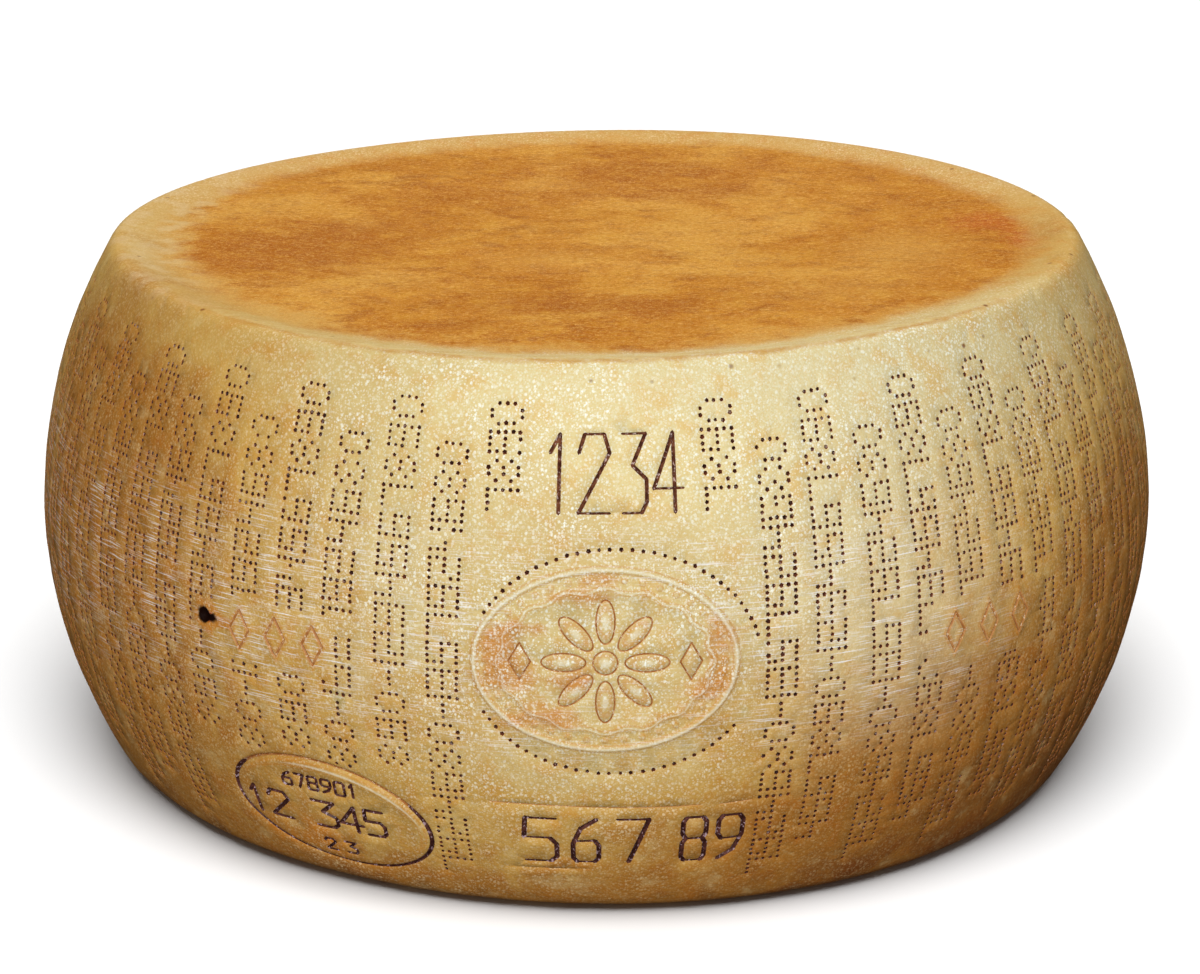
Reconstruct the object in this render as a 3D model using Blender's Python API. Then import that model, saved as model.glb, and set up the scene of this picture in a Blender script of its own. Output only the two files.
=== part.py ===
"""A whole wheel of hard aged cheese, as one solid: a bulging drum with a lipped, slightly dished top."""

import math

import bpy
from mathutils import Vector, noise
from mathutils.geometry import delaunay_2d_cdt

# The turned shape. Lengths are in metres.
BELLY_RADIUS = 0.2300
TOP_EDGE_RADIUS = 0.1978
BASE_EDGE_RADIUS = 0.2004
HEIGHT = 0.2128
BELLY_HEIGHT = 0.1044
UPPER_CURVE = 1.857
LOWER_CURVE = 2.199
BASE_CORNER = 0.0080
TOP_CORNER = 0.0030
LIP_WIDTH = 0.0200
LIP_DROP = 0.0028
DISH_WIDTH = 0.120
DISH_DROP = 0.0020

# Slow unevenness as (waves round the wheel, size in metres, direction in degrees from the front).
TOP_EDGE_WAVES = ((1, 0.00095, 255.0), (2, 0.00105, 301.0), (3, 0.00089, 45.0))
BELLY_WAVES = ((1, 0.00062, 255.0), (2, 0.00043, 230.0), (3, 0.00071, 45.0))
BASE_EDGE_WAVES = ((1, 0.00077, 306.0), (2, 0.00038, 355.0), (3, 0.00159, 99.0))
HEIGHT_WAVES = ((1, 0.00184, 47.0), (2, 0.00063, 175.0), (3, 0.00066, 121.0))
SWELL_SIZE = 0.070
SWELL_DEPTH = 0.0009
SWELL_FADE = 0.020
FACE_SWELL_SIZE = 0.090
FACE_SWELL_DEPTH = 0.0010
FACE_SWELL_FADE = 0.030
FACE_SWELL_SHIFT = Vector((3.1, 7.7, 1.3))

# Stamped relief. Angles are in degrees round the wheel from the front, heights along the side.
CARTOUCHE_ANGLE = 0.68
CARTOUCHE_HEIGHT = 0.1225
CARTOUCHE_HALF_LENGTH = 0.0474
CARTOUCHE_HALF_WIDTH = 0.0339
CARTOUCHE_RIDGE = 0.0018
CARTOUCHE_RISE = 0.0010
PETAL_COUNT = 8
PETAL_REACH = 0.0150
PETAL_HALF_LENGTH = 0.0080
PETAL_HALF_WIDTH = 0.0034
PETAL_RISE = 0.0009
BOSS_RADIUS = 0.0042
BOSS_RISE = 0.0011
LOW_OVAL_ANGLE = -27.4
LOW_OVAL_HEIGHT = 0.0458
LOW_OVAL_HALF_LENGTH = 0.0420
LOW_OVAL_HALF_WIDTH = 0.0250
LOW_OVAL_TILT = -6.9
LOW_OVAL_GROOVE = 0.0015
LOW_OVAL_DEPTH = 0.0008
LOZENGE_ANGLES = (-34.6, -30.9, -27.2, 35.4, 39.4, 43.4)
LOZENGE_HEIGHT = 0.1185
LOZENGE_HALF_WIDTH = 0.0034
LOZENGE_HALF_HEIGHT = 0.0075
LOZENGE_RIDGE = 0.0013
LOZENGE_RISE = 0.0007

# How finely the surface is cut into faces. A ring is its distance inward and its count of points.
# The middle rows are the first and last length along the side and their count.
PROFILE_STEPS = 240
EDGE_COUNT = 112
LOW_ROWS = (0.0, 0.0030, 0.0065, 0.0120)
MIDDLE_ROWS = (0.0230, 0.2190, 18)
HIGH_ROWS = (0.0070, 0.0030, 0.0012, 0.0)
CLEARANCE = 0.0055
LIP_RINGS = ((0.004, 112), (0.010, 112), (0.016, 84), (0.022, 84))
DISH_RINGS = ((0.036, 60), (0.065, 44), (0.100, 30), (0.140, 18))
BASE_RINGS = ((0.020, 72), (0.060, 44), (0.110, 24))
RING_START = 0.25
OVAL_POINTS = 52
LOW_OVAL_POINTS = 48
PETAL_LOOPS = ((1.0, 12), (0.5, 8))
BOSS_LOOPS = ((1.0, 8), (0.5, 8))
LOZENGE_LOOPS = (0.55, 1.0, 1.42)
SAME_PLACE = 1e-6

RIND_COLOUR = (0.53, 0.36, 0.14, 1.0)
RIND_ROUGHNESS = 0.55

SIDE_WIDTH = 2 * math.pi * BELLY_RADIUS


def clear_scene():
    """Removes every object from the scene."""
    for thing in list(bpy.data.objects):
        bpy.data.objects.remove(thing, do_unlink=True)


def waves(turn, terms):
    """Sum of slow waves at an angle from the front, in metres."""
    return sum(size * math.cos(count * turn - math.radians(phase)) for count, size, phase in terms)


def corner_cut(depth, size):
    """How much a rounded corner takes off the radius at a depth into the corner."""
    share = min(1.0, max(0.0, depth / size))
    return size * (1 - math.sqrt(1 - share * share))


def side_radius(height, top, belly, base):
    """Radius of the side at a nominal height, from its radii at the top, the belly and the base."""
    rise = max(0.0, (height - BELLY_HEIGHT) / (HEIGHT - BELLY_HEIGHT))
    fall = max(0.0, (BELLY_HEIGHT - height) / BELLY_HEIGHT)
    radius = belly - (belly - top) * rise**UPPER_CURVE - (belly - base) * fall**LOWER_CURVE
    radius -= corner_cut(BASE_CORNER - height, BASE_CORNER)
    return radius - corner_cut(height - HEIGHT + TOP_CORNER, TOP_CORNER)


def mean_radius(height):
    """Radius of the side without its unevenness."""
    return side_radius(height, TOP_EDGE_RADIUS, BELLY_RADIUS, BASE_EDGE_RADIUS)


def turned_point(height, turn):
    """Radius and height of the side at a nominal height, as uneven as the wheel is there."""
    top = TOP_EDGE_RADIUS + waves(turn, TOP_EDGE_WAVES)
    belly = BELLY_RADIUS + waves(turn, BELLY_WAVES)
    base = BASE_EDGE_RADIUS + waves(turn, BASE_EDGE_WAVES)
    rise = max(0.0, (height - BELLY_HEIGHT) / (HEIGHT - BELLY_HEIGHT))
    level = height + waves(turn, HEIGHT_WAVES) * rise**1.5
    return side_radius(height, top, belly, base), level


def side_table():
    """Pairs of length along the side and nominal height, closer together at both corners."""
    pairs = [(0.0, 0.0)]
    radius_before = mean_radius(0.0)
    for step in range(1, PROFILE_STEPS + 1):
        height = HEIGHT * (1 - math.cos(math.pi * step / PROFILE_STEPS)) / 2
        radius = mean_radius(height)
        length, height_before = pairs[-1]
        length += math.hypot(radius - radius_before, height - height_before)
        pairs.append((length, height))
        radius_before = radius
    return pairs


SIDE_TABLE = side_table()
SIDE_LENGTH = SIDE_TABLE[-1][0]


def nominal_height(length):
    """Nominal height at a length along the side."""
    low = 0
    high = len(SIDE_TABLE) - 1
    while high - low > 1:
        middle = (low + high) // 2
        if SIDE_TABLE[middle][0] <= length:
            low = middle
        else:
            high = middle
    span = SIDE_TABLE[high][0] - SIDE_TABLE[low][0]
    share = min(1.0, max(0.0, (length - SIDE_TABLE[low][0]) / span))
    return SIDE_TABLE[low][1] + share * (SIDE_TABLE[high][1] - SIDE_TABLE[low][1])


def soft_step(share):
    """A smooth rise from 0 to 1."""
    share = min(1.0, max(0.0, share))
    return share * share * (3 - 2 * share)


def oval_distance(across, along, half_length, half_width):
    """About how far a point lies outside an oval, negative inside."""
    reach = math.hypot(across / half_length, along / half_width)
    if reach < SAME_PLACE:
        return -half_width
    slope = math.hypot(across / half_length**2, along / half_width**2) / reach
    return (reach - 1) / slope


def mound(distance, half_width, rise):
    """Height of a rounded ridge at a distance from its middle line."""
    return rise * (1 - soft_step(abs(distance) / half_width))


def local(u, v, angle, height):
    """Position beside a stamp's middle as it lies on the side, in metres across and up."""
    shrink = mean_radius(nominal_height(height)) / BELLY_RADIUS
    return (u - math.radians(angle) * BELLY_RADIUS) * shrink, v - height


def turned(across, along, degrees):
    """The position seen in axes turned by an angle."""
    cosine = math.cos(math.radians(degrees))
    sine = math.sin(math.radians(degrees))
    return across * cosine + along * sine, along * cosine - across * sine


def relief(u, v):
    """Height of the stamped relief over the side at a place on it."""
    total = 0.0
    across, along = local(u, v, CARTOUCHE_ANGLE, CARTOUCHE_HEIGHT)
    if abs(across) < 2 * CARTOUCHE_HALF_LENGTH:
        edge = oval_distance(across, along, CARTOUCHE_HALF_LENGTH, CARTOUCHE_HALF_WIDTH)
        total += mound(edge, CARTOUCHE_RIDGE, CARTOUCHE_RISE)
        total += mound(math.hypot(across, along), BOSS_RADIUS, BOSS_RISE)
        for petal in range(PETAL_COUNT):
            out, beside = turned(across, along, 360 * petal / PETAL_COUNT)
            reach = math.hypot((out - PETAL_REACH) / PETAL_HALF_LENGTH, beside / PETAL_HALF_WIDTH)
            total += mound(reach, 1.0, PETAL_RISE)
    across, along = local(u, v, LOW_OVAL_ANGLE, LOW_OVAL_HEIGHT)
    if abs(across) < 2 * LOW_OVAL_HALF_LENGTH:
        out, beside = turned(across, along, LOW_OVAL_TILT)
        edge = oval_distance(out, beside, LOW_OVAL_HALF_LENGTH, LOW_OVAL_HALF_WIDTH)
        total -= mound(edge, LOW_OVAL_GROOVE, LOW_OVAL_DEPTH)
    for angle in LOZENGE_ANGLES:
        across, along = local(u, v, angle, LOZENGE_HEIGHT)
        if abs(across) < 4 * LOZENGE_HALF_WIDTH:
            span = math.hypot(1 / LOZENGE_HALF_WIDTH, 1 / LOZENGE_HALF_HEIGHT)
            edge = (abs(across) / LOZENGE_HALF_WIDTH + abs(along) / LOZENGE_HALF_HEIGHT - 1) / span
            total += mound(edge, LOZENGE_RIDGE, LOZENGE_RISE)
    return total


def side_point(u, v):
    """Position in space of a place on the side."""
    turn = u / BELLY_RADIUS
    length = min(SIDE_LENGTH, max(0.0, v))
    height = nominal_height(length)
    radius, level = turned_point(height, turn)
    fade = soft_step(v / SWELL_FADE) * soft_step((SIDE_LENGTH - v) / SWELL_FADE)
    spot = Vector((radius * math.sin(turn), -radius * math.cos(turn), level))
    swell = noise.noise(spot / SWELL_SIZE) * SWELL_DEPTH
    radius += fade * (swell + relief(u, v))
    return Vector((radius * math.sin(turn), -radius * math.cos(turn), level))


def top_point(inward, turn):
    """Position in space of a place on the top, at a distance inward from its edge."""
    edge, level = turned_point(HEIGHT, turn)
    share = 1 - min(1.0, inward / edge)
    x = edge * share * math.sin(turn)
    y = -edge * share * math.cos(turn)
    z = HEIGHT + (level - HEIGHT) * share
    z -= LIP_DROP * soft_step(inward / LIP_WIDTH)
    z -= DISH_DROP * soft_step((inward - LIP_WIDTH) / DISH_WIDTH)
    swell = noise.noise(Vector((x, y, 0.0)) / FACE_SWELL_SIZE + FACE_SWELL_SHIFT)
    z += swell * FACE_SWELL_DEPTH * soft_step(inward / FACE_SWELL_FADE)
    return Vector((x, y, z))


def base_point(inward, turn):
    """Position in space of a place on the flat base."""
    edge = turned_point(0.0, turn)[0]
    radius = max(0.0, edge - inward)
    return Vector((radius * math.sin(turn), -radius * math.cos(turn), 0.0))


def loop_points(angle, height, offsets, tilt=0.0):
    """Places on the side for a closed line given by its offsets from a stamp's middle."""
    shrink = mean_radius(nominal_height(height)) / BELLY_RADIUS
    centre = math.radians(angle) * BELLY_RADIUS
    places = []
    for across, along in offsets:
        out, beside = turned(across, along, -tilt)
        places.append((centre + out / shrink, height + beside))
    return places


def oval_offsets(half_length, half_width, count):
    """Evenly turned offsets round an oval."""
    steps = [2 * math.pi * step / count for step in range(count)]
    return [(half_length * math.cos(step), half_width * math.sin(step)) for step in steps]


def stamp_loops():
    """Closed lines on the side along the feet and crests of the stamped relief."""
    loops = []
    for shift in (-CARTOUCHE_RIDGE, 0.0, CARTOUCHE_RIDGE):
        long = CARTOUCHE_HALF_LENGTH + shift
        wide = CARTOUCHE_HALF_WIDTH + shift
        offsets = oval_offsets(long, wide, OVAL_POINTS)
        loops.append(loop_points(CARTOUCHE_ANGLE, CARTOUCHE_HEIGHT, offsets))
    for share, count in BOSS_LOOPS:
        offsets = oval_offsets(BOSS_RADIUS * share, BOSS_RADIUS * share, count)
        loops.append(loop_points(CARTOUCHE_ANGLE, CARTOUCHE_HEIGHT, offsets))
    for petal in range(PETAL_COUNT):
        angle = 360 * petal / PETAL_COUNT
        for share, count in PETAL_LOOPS:
            offsets = oval_offsets(PETAL_HALF_LENGTH * share, PETAL_HALF_WIDTH * share, count)
            offsets = [turned(across + PETAL_REACH, along, -angle) for across, along in offsets]
            loops.append(loop_points(CARTOUCHE_ANGLE, CARTOUCHE_HEIGHT, offsets))
    for shift in (-LOW_OVAL_GROOVE, 0.0, LOW_OVAL_GROOVE):
        long = LOW_OVAL_HALF_LENGTH + shift
        wide = LOW_OVAL_HALF_WIDTH + shift
        offsets = oval_offsets(long, wide, LOW_OVAL_POINTS)
        loops.append(loop_points(LOW_OVAL_ANGLE, LOW_OVAL_HEIGHT, offsets, LOW_OVAL_TILT))
    for angle in LOZENGE_ANGLES:
        for share in LOZENGE_LOOPS:
            wide = LOZENGE_HALF_WIDTH * share
            tall = LOZENGE_HALF_HEIGHT * share
            corners = [(wide, 0.0), (0.0, tall), (-wide, 0.0), (0.0, -tall)]
            offsets = []
            for corner in range(4):
                after = corners[(corner + 1) % 4]
                middle = ((corners[corner][0] + after[0]) / 2, (corners[corner][1] + after[1]) / 2)
                offsets.extend([corners[corner], middle])
            loops.append(loop_points(angle, LOZENGE_HEIGHT, offsets))
    return loops


def near_any(place, others, distance):
    """True if a place lies within a distance of any of the others."""
    for other in others:
        if abs(other[0] - place[0]) < distance and abs(other[1] - place[1]) < distance:
            if math.hypot(other[0] - place[0], other[1] - place[1]) < distance:
                return True
    return False


def side_rows():
    """Lengths along the side at which the rows of points lie, closer together at both corners."""
    first, last, count = MIDDLE_ROWS
    middle = [first + (last - first) * row / (count - 1) for row in range(count)]
    return list(LOW_ROWS) + middle + [SIDE_LENGTH - row for row in HIGH_ROWS]


def side_layout():
    """Places on the unrolled side and the lines that the faces follow."""
    step = SIDE_WIDTH / EDGE_COUNT
    half = SIDE_WIDTH / 2
    loops = stamp_loops()
    stamped = [place for loop in loops for place in loop]
    places = []
    for index, row in enumerate(side_rows()):
        is_corner = row <= LOW_ROWS[-1] or row >= SIDE_LENGTH - HIGH_ROWS[0]
        shift = 0.0 if is_corner or index % 2 == 0 else 0.5
        places.append((-half, row))
        places.append((half, row))
        for column in range(EDGE_COUNT):
            place = (-half + (column + shift) * step, row)
            is_border = abs(place[0]) > half - 0.4 * step
            if not is_border and not near_any(place, stamped, CLEARANCE):
                places.append(place)
    lines = []
    for loop in loops:
        first = len(places)
        places.extend(loop)
        count = len(loop)
        lines.extend((first + spot, first + (spot + 1) % count) for spot in range(count))
    return places, lines


def triangulate(places, lines):
    """Corners, triangles and each corner's first place, over flat places joined by lines."""
    result = delaunay_2d_cdt([Vector(place) for place in places], lines, [], 0, SAME_PLACE / 10)
    owners = [origin[0] if origin else None for origin in result[3]]
    return result[0], result[2], owners


def seam_key(u, v):
    """The same key for both edges of the unrolled side."""
    turn = u / BELLY_RADIUS
    if turn > math.pi - SAME_PLACE:
        turn -= 2 * math.pi
    return round(turn, 5), round(v, 6)


def build_side(points, faces):
    """Adds the side and returns the points along its lower and upper borders by their angle."""
    places, lines = side_layout()
    corners, triangles = triangulate(places, lines)[:2]
    known = {}
    index = []
    for u, v in corners:
        key = seam_key(u, v)
        if key not in known:
            known[key] = len(points)
            points.append(side_point(u, v))
        index.append(known[key])
    for face in triangles:
        faces.append([index[corner] for corner in face])
    lower = {key[0]: spot for key, spot in known.items() if key[1] < SAME_PLACE}
    upper = {key[0]: spot for key, spot in known.items() if key[1] > SIDE_LENGTH - SAME_PLACE}
    return lower, upper


def build_disc(points, faces, border, rings, place_at, is_upward):
    """Closes a border with a disc whose rings lie at distances inward from it."""
    flat = []
    owners = []
    for turn in sorted(border):
        flat.append((math.sin(turn), -math.cos(turn)))
        owners.append(border[turn])
    for inward, count in rings:
        share = 1 - inward / TOP_EDGE_RADIUS
        for step in range(count):
            turn = 2 * math.pi * (step + RING_START) / count - math.pi
            flat.append((share * math.sin(turn), -share * math.cos(turn)))
            owners.append(len(points))
            points.append(place_at(inward, turn))
    flat.append((0.0, 0.0))
    owners.append(len(points))
    points.append(place_at(BELLY_RADIUS, 0.0))
    triangles, origins = triangulate(flat, [])[1:]
    for face in triangles:
        ring = [owners[origins[corner]] for corner in face]
        faces.append(ring if is_upward else ring[::-1])


def box_middle(points):
    """Middle of the box round some points, as seen from above."""
    wide = [point.x for point in points]
    deep = [point.y for point in points]
    return Vector(((min(wide) + max(wide)) / 2, (min(deep) + max(deep)) / 2, 0.0))


def build_wheel():
    """Builds the whole wheel as one closed mesh, with the middle of its box over the origin."""
    points = []
    faces = []
    lower, upper = build_side(points, faces)
    build_disc(points, faces, upper, LIP_RINGS + DISH_RINGS, top_point, True)
    build_disc(points, faces, lower, BASE_RINGS, base_point, False)
    middle = box_middle(points)
    mesh = bpy.data.meshes.new("cheese_wheel")
    mesh.from_pydata([tuple(point - middle) for point in points], [], faces)
    mesh.validate()
    mesh.shade_smooth()
    wheel = bpy.data.objects.new("cheese_wheel", mesh)
    bpy.context.scene.collection.objects.link(wheel)
    return wheel


def rind_material():
    """Straw-coloured dry rind."""
    material = bpy.data.materials.new("rind")
    material.use_nodes = True
    shader = material.node_tree.nodes["Principled BSDF"]
    shader.inputs["Base Color"].default_value = RIND_COLOUR
    shader.inputs["Roughness"].default_value = RIND_ROUGHNESS
    shader.inputs["Metallic"].default_value = 0.0
    return material


clear_scene()
wheel = build_wheel()
wheel.data.materials.append(rind_material())
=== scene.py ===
"""A whole wheel of hard aged cheese in a plain studio: its pricked, stamped and stained rind in full."""

import logging
import math
import random
from dataclasses import dataclass
from enum import Enum
from functools import reduce
from typing import Any, Optional, Sequence, Union

import bpy
import numpy as np
from mathutils import Matrix, Vector, noise
from mathutils.geometry import delaunay_2d_cdt
from mathutils.kdtree import KDTree

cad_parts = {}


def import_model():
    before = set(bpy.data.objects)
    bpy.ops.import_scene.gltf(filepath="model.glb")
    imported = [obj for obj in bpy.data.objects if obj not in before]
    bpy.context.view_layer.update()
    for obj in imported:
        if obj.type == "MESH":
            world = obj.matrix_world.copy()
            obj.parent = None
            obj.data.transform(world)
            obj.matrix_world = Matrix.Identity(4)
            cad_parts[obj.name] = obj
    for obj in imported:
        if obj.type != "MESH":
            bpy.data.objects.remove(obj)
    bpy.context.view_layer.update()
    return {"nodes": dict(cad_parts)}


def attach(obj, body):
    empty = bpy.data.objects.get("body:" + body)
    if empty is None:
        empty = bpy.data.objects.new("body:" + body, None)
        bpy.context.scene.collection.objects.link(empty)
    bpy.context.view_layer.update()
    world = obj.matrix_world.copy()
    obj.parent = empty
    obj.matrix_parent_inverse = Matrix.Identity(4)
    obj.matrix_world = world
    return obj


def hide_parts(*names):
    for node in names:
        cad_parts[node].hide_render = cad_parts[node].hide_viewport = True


Place = tuple[float, float]
Path = list[Place]
Triple = tuple[float, float, float]
Zone = tuple[float, float, float, float]
Waves = tuple[tuple[int, float, float], ...]
Colour = tuple[float, float, float, float]
Values = np.ndarray
Socket = bpy.types.NodeSocket
Value = Union[float, Sequence[float], Socket]

EVEN: Triple = (1.0, 1.0, 1.0)

WHEEL_NODE = "cheese_wheel"
SEED = 41
SAME_PLACE = 1e-7
PIN_CORNERS = 5

log = logging.getLogger("wheel")


class Dress(Enum):
    """Material slots of the wheel, in order."""

    RIND = 0
    PIN = 1
    NUMBER = 2
    DEEP_LINE = 3
    PALE_LINE = 4


def stand(name: str, data: Any) -> bpy.types.Object:
    """Adds an object to the scene.

    Args:
        name: Its name.
        data: Its mesh, light or camera.

    Returns:
        The object.
    """
    added = bpy.data.objects.new(name, data)
    bpy.context.scene.collection.objects.link(added)
    return added


def soft_step(share: Values) -> Values:
    """Smooth rise from 0 to 1.

    Args:
        share: Values, 0 where the rise starts and 1 where it ends.

    Returns:
        The risen values, one for each.
    """
    share = np.clip(share, 0.0, 1.0)
    return share * share * (3 - 2 * share)


def mound(distance: Values, half_width: float, rise: float) -> Values:
    """Height of a rounded ridge.

    Args:
        distance: Distances from the ridge's middle line.
        half_width: Distance at which the ridge ends.
        rise: Height of its crest.

    Returns:
        The heights.
    """
    return rise * (1 - soft_step(np.abs(distance) / half_width))


def lumps(points: Values, size: float, shift: float = 0.0) -> Values:
    """Smooth random field.

    Args:
        points: Positions, one a row.
        size: Length of one lump.
        shift: Added to each coordinate, so that fields of one size differ.

    Returns:
        Values from about -1 to 1.
    """
    return np.array([noise.noise(Vector(point)) for point in points / size + shift])


def notch(distance: Values, half_width: Any, depth: float) -> Values:
    """Depth of a cut with straight flanks at distances from its middle line."""
    return depth * np.clip(1 - distance / half_width, 0.0, 1.0)


def turned(x: Any, y: Any, angle: float) -> tuple[Any, Any]:
    """Places turned about the middle by an angle in radians."""
    cosine, sine = math.cos(angle), math.sin(angle)
    return x * cosine - y * sine, x * sine + y * cosine


def ring(turn: Values, radius: Values) -> Values:
    """Places at angles from the front and distances from the middle, one a row."""
    return np.column_stack((radius * np.sin(turn), -radius * np.cos(turn)))


def is_within(across: float, up: float, zone: Zone) -> bool:
    """True if a place lies in a zone: its lowest and highest place across, then up."""
    return zone[0] < across < zone[1] and zone[2] < up < zone[3]


def oval_distance(across: Values, up: Values, long: float, wide: float) -> Values:
    """About how far places lie outside an oval.

    Args:
        across: Positions along the long axis.
        up: Positions along the short axis.
        long: Half of the oval's length.
        wide: Half of its width.

    Returns:
        The distances, negative inside.
    """
    reach = np.maximum(np.hypot(across / long, up / wide), 1e-6)
    slope = np.hypot(across / long**2, up / wide**2) / reach
    return (reach - 1) / np.maximum(slope, 1e-3)


def path_distance(across: Values, up: Values, path: Path) -> Values:
    """How far places lie from a line of straight pieces.

    Args:
        across: Positions across.
        up: Positions up.
        path: Corners of the line.

    Returns:
        The distances.
    """
    nearest = np.full(across.shape, 1.0)
    for (x0, y0), (x1, y1) in zip(path, path[1:]):
        run = np.array((x1 - x0, y1 - y0))
        square = max(float(run @ run), 1e-14)
        share = np.clip(((across - x0) * run[0] + (up - y0) * run[1]) / square, 0.0, 1.0)
        nearest = np.minimum(nearest, np.hypot(across - x0 - share * run[0], up - y0 - share * run[1]))
    return nearest


def oval(long: float, wide: float, count: int) -> Path:
    """Places round an oval.

    Args:
        long: Half of its length.
        wide: Half of its width.
        count: How many places.

    Returns:
        The places, not closed.
    """
    steps = [2 * math.pi * step / count for step in range(count)]
    return [(long * math.cos(step), wide * math.sin(step)) for step in steps]


def diamond(wide: float, tall: float, middle: float = 0.0) -> Path:
    """Corners of an upright diamond, closed: half its width, half its height and where it stands across."""
    return [(middle + wide * x, tall * y) for x, y in ((1, 0), (0, 1), (-1, 0), (0, -1), (1, 0))]


def steps_between(start: Place, end: Place, steps: int) -> Path:
    """Places along a straight line in even steps, with both ends."""
    (x0, y0), (x1, y1) = start, end
    return [(x0 + (x1 - x0) * step / steps, y0 + (y1 - y0) * step / steps) for step in range(steps + 1)]


@dataclass(frozen=True)
class WheelShape:
    """The turned form of the wheel, as its solid has it. Lengths are in metres."""

    belly_radius: float = 0.2300
    top_radius: float = 0.1978
    base_radius: float = 0.2004
    height: float = 0.2128
    belly_height: float = 0.1044
    upper_curve: float = 1.857
    lower_curve: float = 2.199
    base_corner: float = 0.0080
    top_corner: float = 0.0030
    lip_width: float = 0.0200
    lip_drop: float = 0.0028
    dish_width: float = 0.120
    dish_drop: float = 0.0020
    top_waves: Waves = ((1, 0.00095, 255.0), (2, 0.00105, 301.0), (3, 0.00089, 45.0))
    belly_waves: Waves = ((1, 0.00062, 255.0), (2, 0.00043, 230.0), (3, 0.00071, 45.0))
    base_waves: Waves = ((1, 0.00077, 306.0), (2, 0.00038, 355.0), (3, 0.00159, 99.0))
    height_waves: Waves = ((1, 0.00184, 47.0), (2, 0.00063, 175.0), (3, 0.00066, 121.0))
    tilt_curve: float = 1.5
    swell_size: float = 0.070
    swell_depth: float = 0.0009
    swell_fade: float = 0.020
    face_swell_size: float = 0.090
    face_swell_depth: float = 0.0010
    face_swell_fade: float = 0.030
    face_swell_shift: tuple[float, float, float] = (3.1, 7.7, 1.3)
    middle: tuple[float, float, float] = (-0.00074, -0.00074, 0.0)
    profile_steps: int = 240

    def waves(self, turn: Values, terms: Waves) -> Values:
        """Sum of slow waves round the wheel.

        Args:
            turn: Angles from the front, in radians.
            terms: Count, size and direction of each wave.

        Returns:
            The sums, in metres.
        """
        return sum(size * np.cos(count * turn - math.radians(phase)) for count, size, phase in terms)

    def above_belly(self, height: Values) -> Values:
        """Share of the way from the belly to the top edge, 0 below the belly."""
        return np.maximum(0.0, (height - self.belly_height) / (self.height - self.belly_height))

    def corner_cut(self, depth: Values, size: float) -> Values:
        """How much a rounded corner takes off the radius.

        Args:
            depth: Depths into the corner.
            size: The corner's radius.

        Returns:
            What comes off.
        """
        share = np.clip(depth / size, 0.0, 1.0)
        return size * (1 - np.sqrt(1 - share * share))

    def side_radius(self, height: Values, top: Any, belly: Any, base: Any) -> Values:
        """Radius of the side.

        Args:
            height: Nominal heights.
            top: Radius at the top edge.
            belly: Radius at the belly.
            base: Radius at the base.

        Returns:
            The radii.
        """
        rise = self.above_belly(height)
        fall = np.maximum(0.0, (self.belly_height - height) / self.belly_height)
        radius = belly - (belly - top) * rise**self.upper_curve - (belly - base) * fall**self.lower_curve
        radius = radius - self.corner_cut(self.base_corner - height, self.base_corner)
        return radius - self.corner_cut(height - self.height + self.top_corner, self.top_corner)

    def mean_radius(self, height: Values) -> Values:
        """Radius of the side at nominal heights, without its unevenness."""
        return self.side_radius(height, self.top_radius, self.belly_radius, self.base_radius)

    def uneven(self, height: Values, turn: Values) -> tuple[Values, Values]:
        """Radius and level of the side as uneven as the wheel is there.

        Args:
            height: Nominal heights.
            turn: Angles from the front, in radians.

        Returns:
            The radii and the levels.
        """
        top = self.top_radius + self.waves(turn, self.top_waves)
        belly = self.belly_radius + self.waves(turn, self.belly_waves)
        base = self.base_radius + self.waves(turn, self.base_waves)
        level = height + self.waves(turn, self.height_waves) * self.above_belly(height) ** self.tilt_curve
        return self.side_radius(height, top, belly, base), level

    def profile(self) -> tuple[Values, Values]:
        """Lengths along the side and the nominal heights there.

        Returns:
            Both, from the base to the crest.
        """
        steps = np.arange(self.profile_steps + 1) / self.profile_steps
        heights = self.height * (1 - np.cos(math.pi * steps)) / 2
        radii = self.mean_radius(heights)
        lengths = np.concatenate(([0.0], np.cumsum(np.hypot(np.diff(radii), np.diff(heights)))))
        return lengths, heights

    def side_length(self) -> float:
        """Length along the side, from the base to the crest."""
        return float(self.profile()[0][-1])

    def height_at(self, length: Any) -> Values:
        """Nominal heights at lengths along the side."""
        lengths, heights = self.profile()
        return np.interp(length, lengths, heights)

    def shrink(self, length: Any) -> Values:
        """Radius at lengths along the side, as a share of the belly's."""
        return self.mean_radius(self.height_at(length)) / self.belly_radius

    def side_width(self) -> float:
        """Width of the unrolled side, measured at the belly."""
        return 2 * math.pi * self.belly_radius

    def u_at(self, angle: float) -> float:
        """Where a direction from the front, in degrees, lies round the unrolled side."""
        return math.radians(angle) * self.belly_radius

    def fade(self, length: Values) -> Values:
        """How much of the swell and relief is left at lengths along the side."""
        total = self.side_length()
        return soft_step(length / self.swell_fade) * soft_step((total - length) / self.swell_fade)

    def side_points(self, u: Values, v: Values, raised: Values) -> Values:
        """Positions of places on the side.

        Args:
            u: Places round the side, measured at the belly from the front.
            v: Lengths along the side from the base.
            raised: How far each place is raised over the swelled side.

        Returns:
            The positions, one a row.
        """
        turn = u / self.belly_radius
        radius, level = self.uneven(self.height_at(v), turn)
        spots = np.column_stack((ring(turn, radius), level))
        radius = radius + self.fade(v) * lumps(spots, self.swell_size) * self.swell_depth + raised
        return np.column_stack((ring(turn, radius), level)) - np.array(self.middle)

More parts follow.
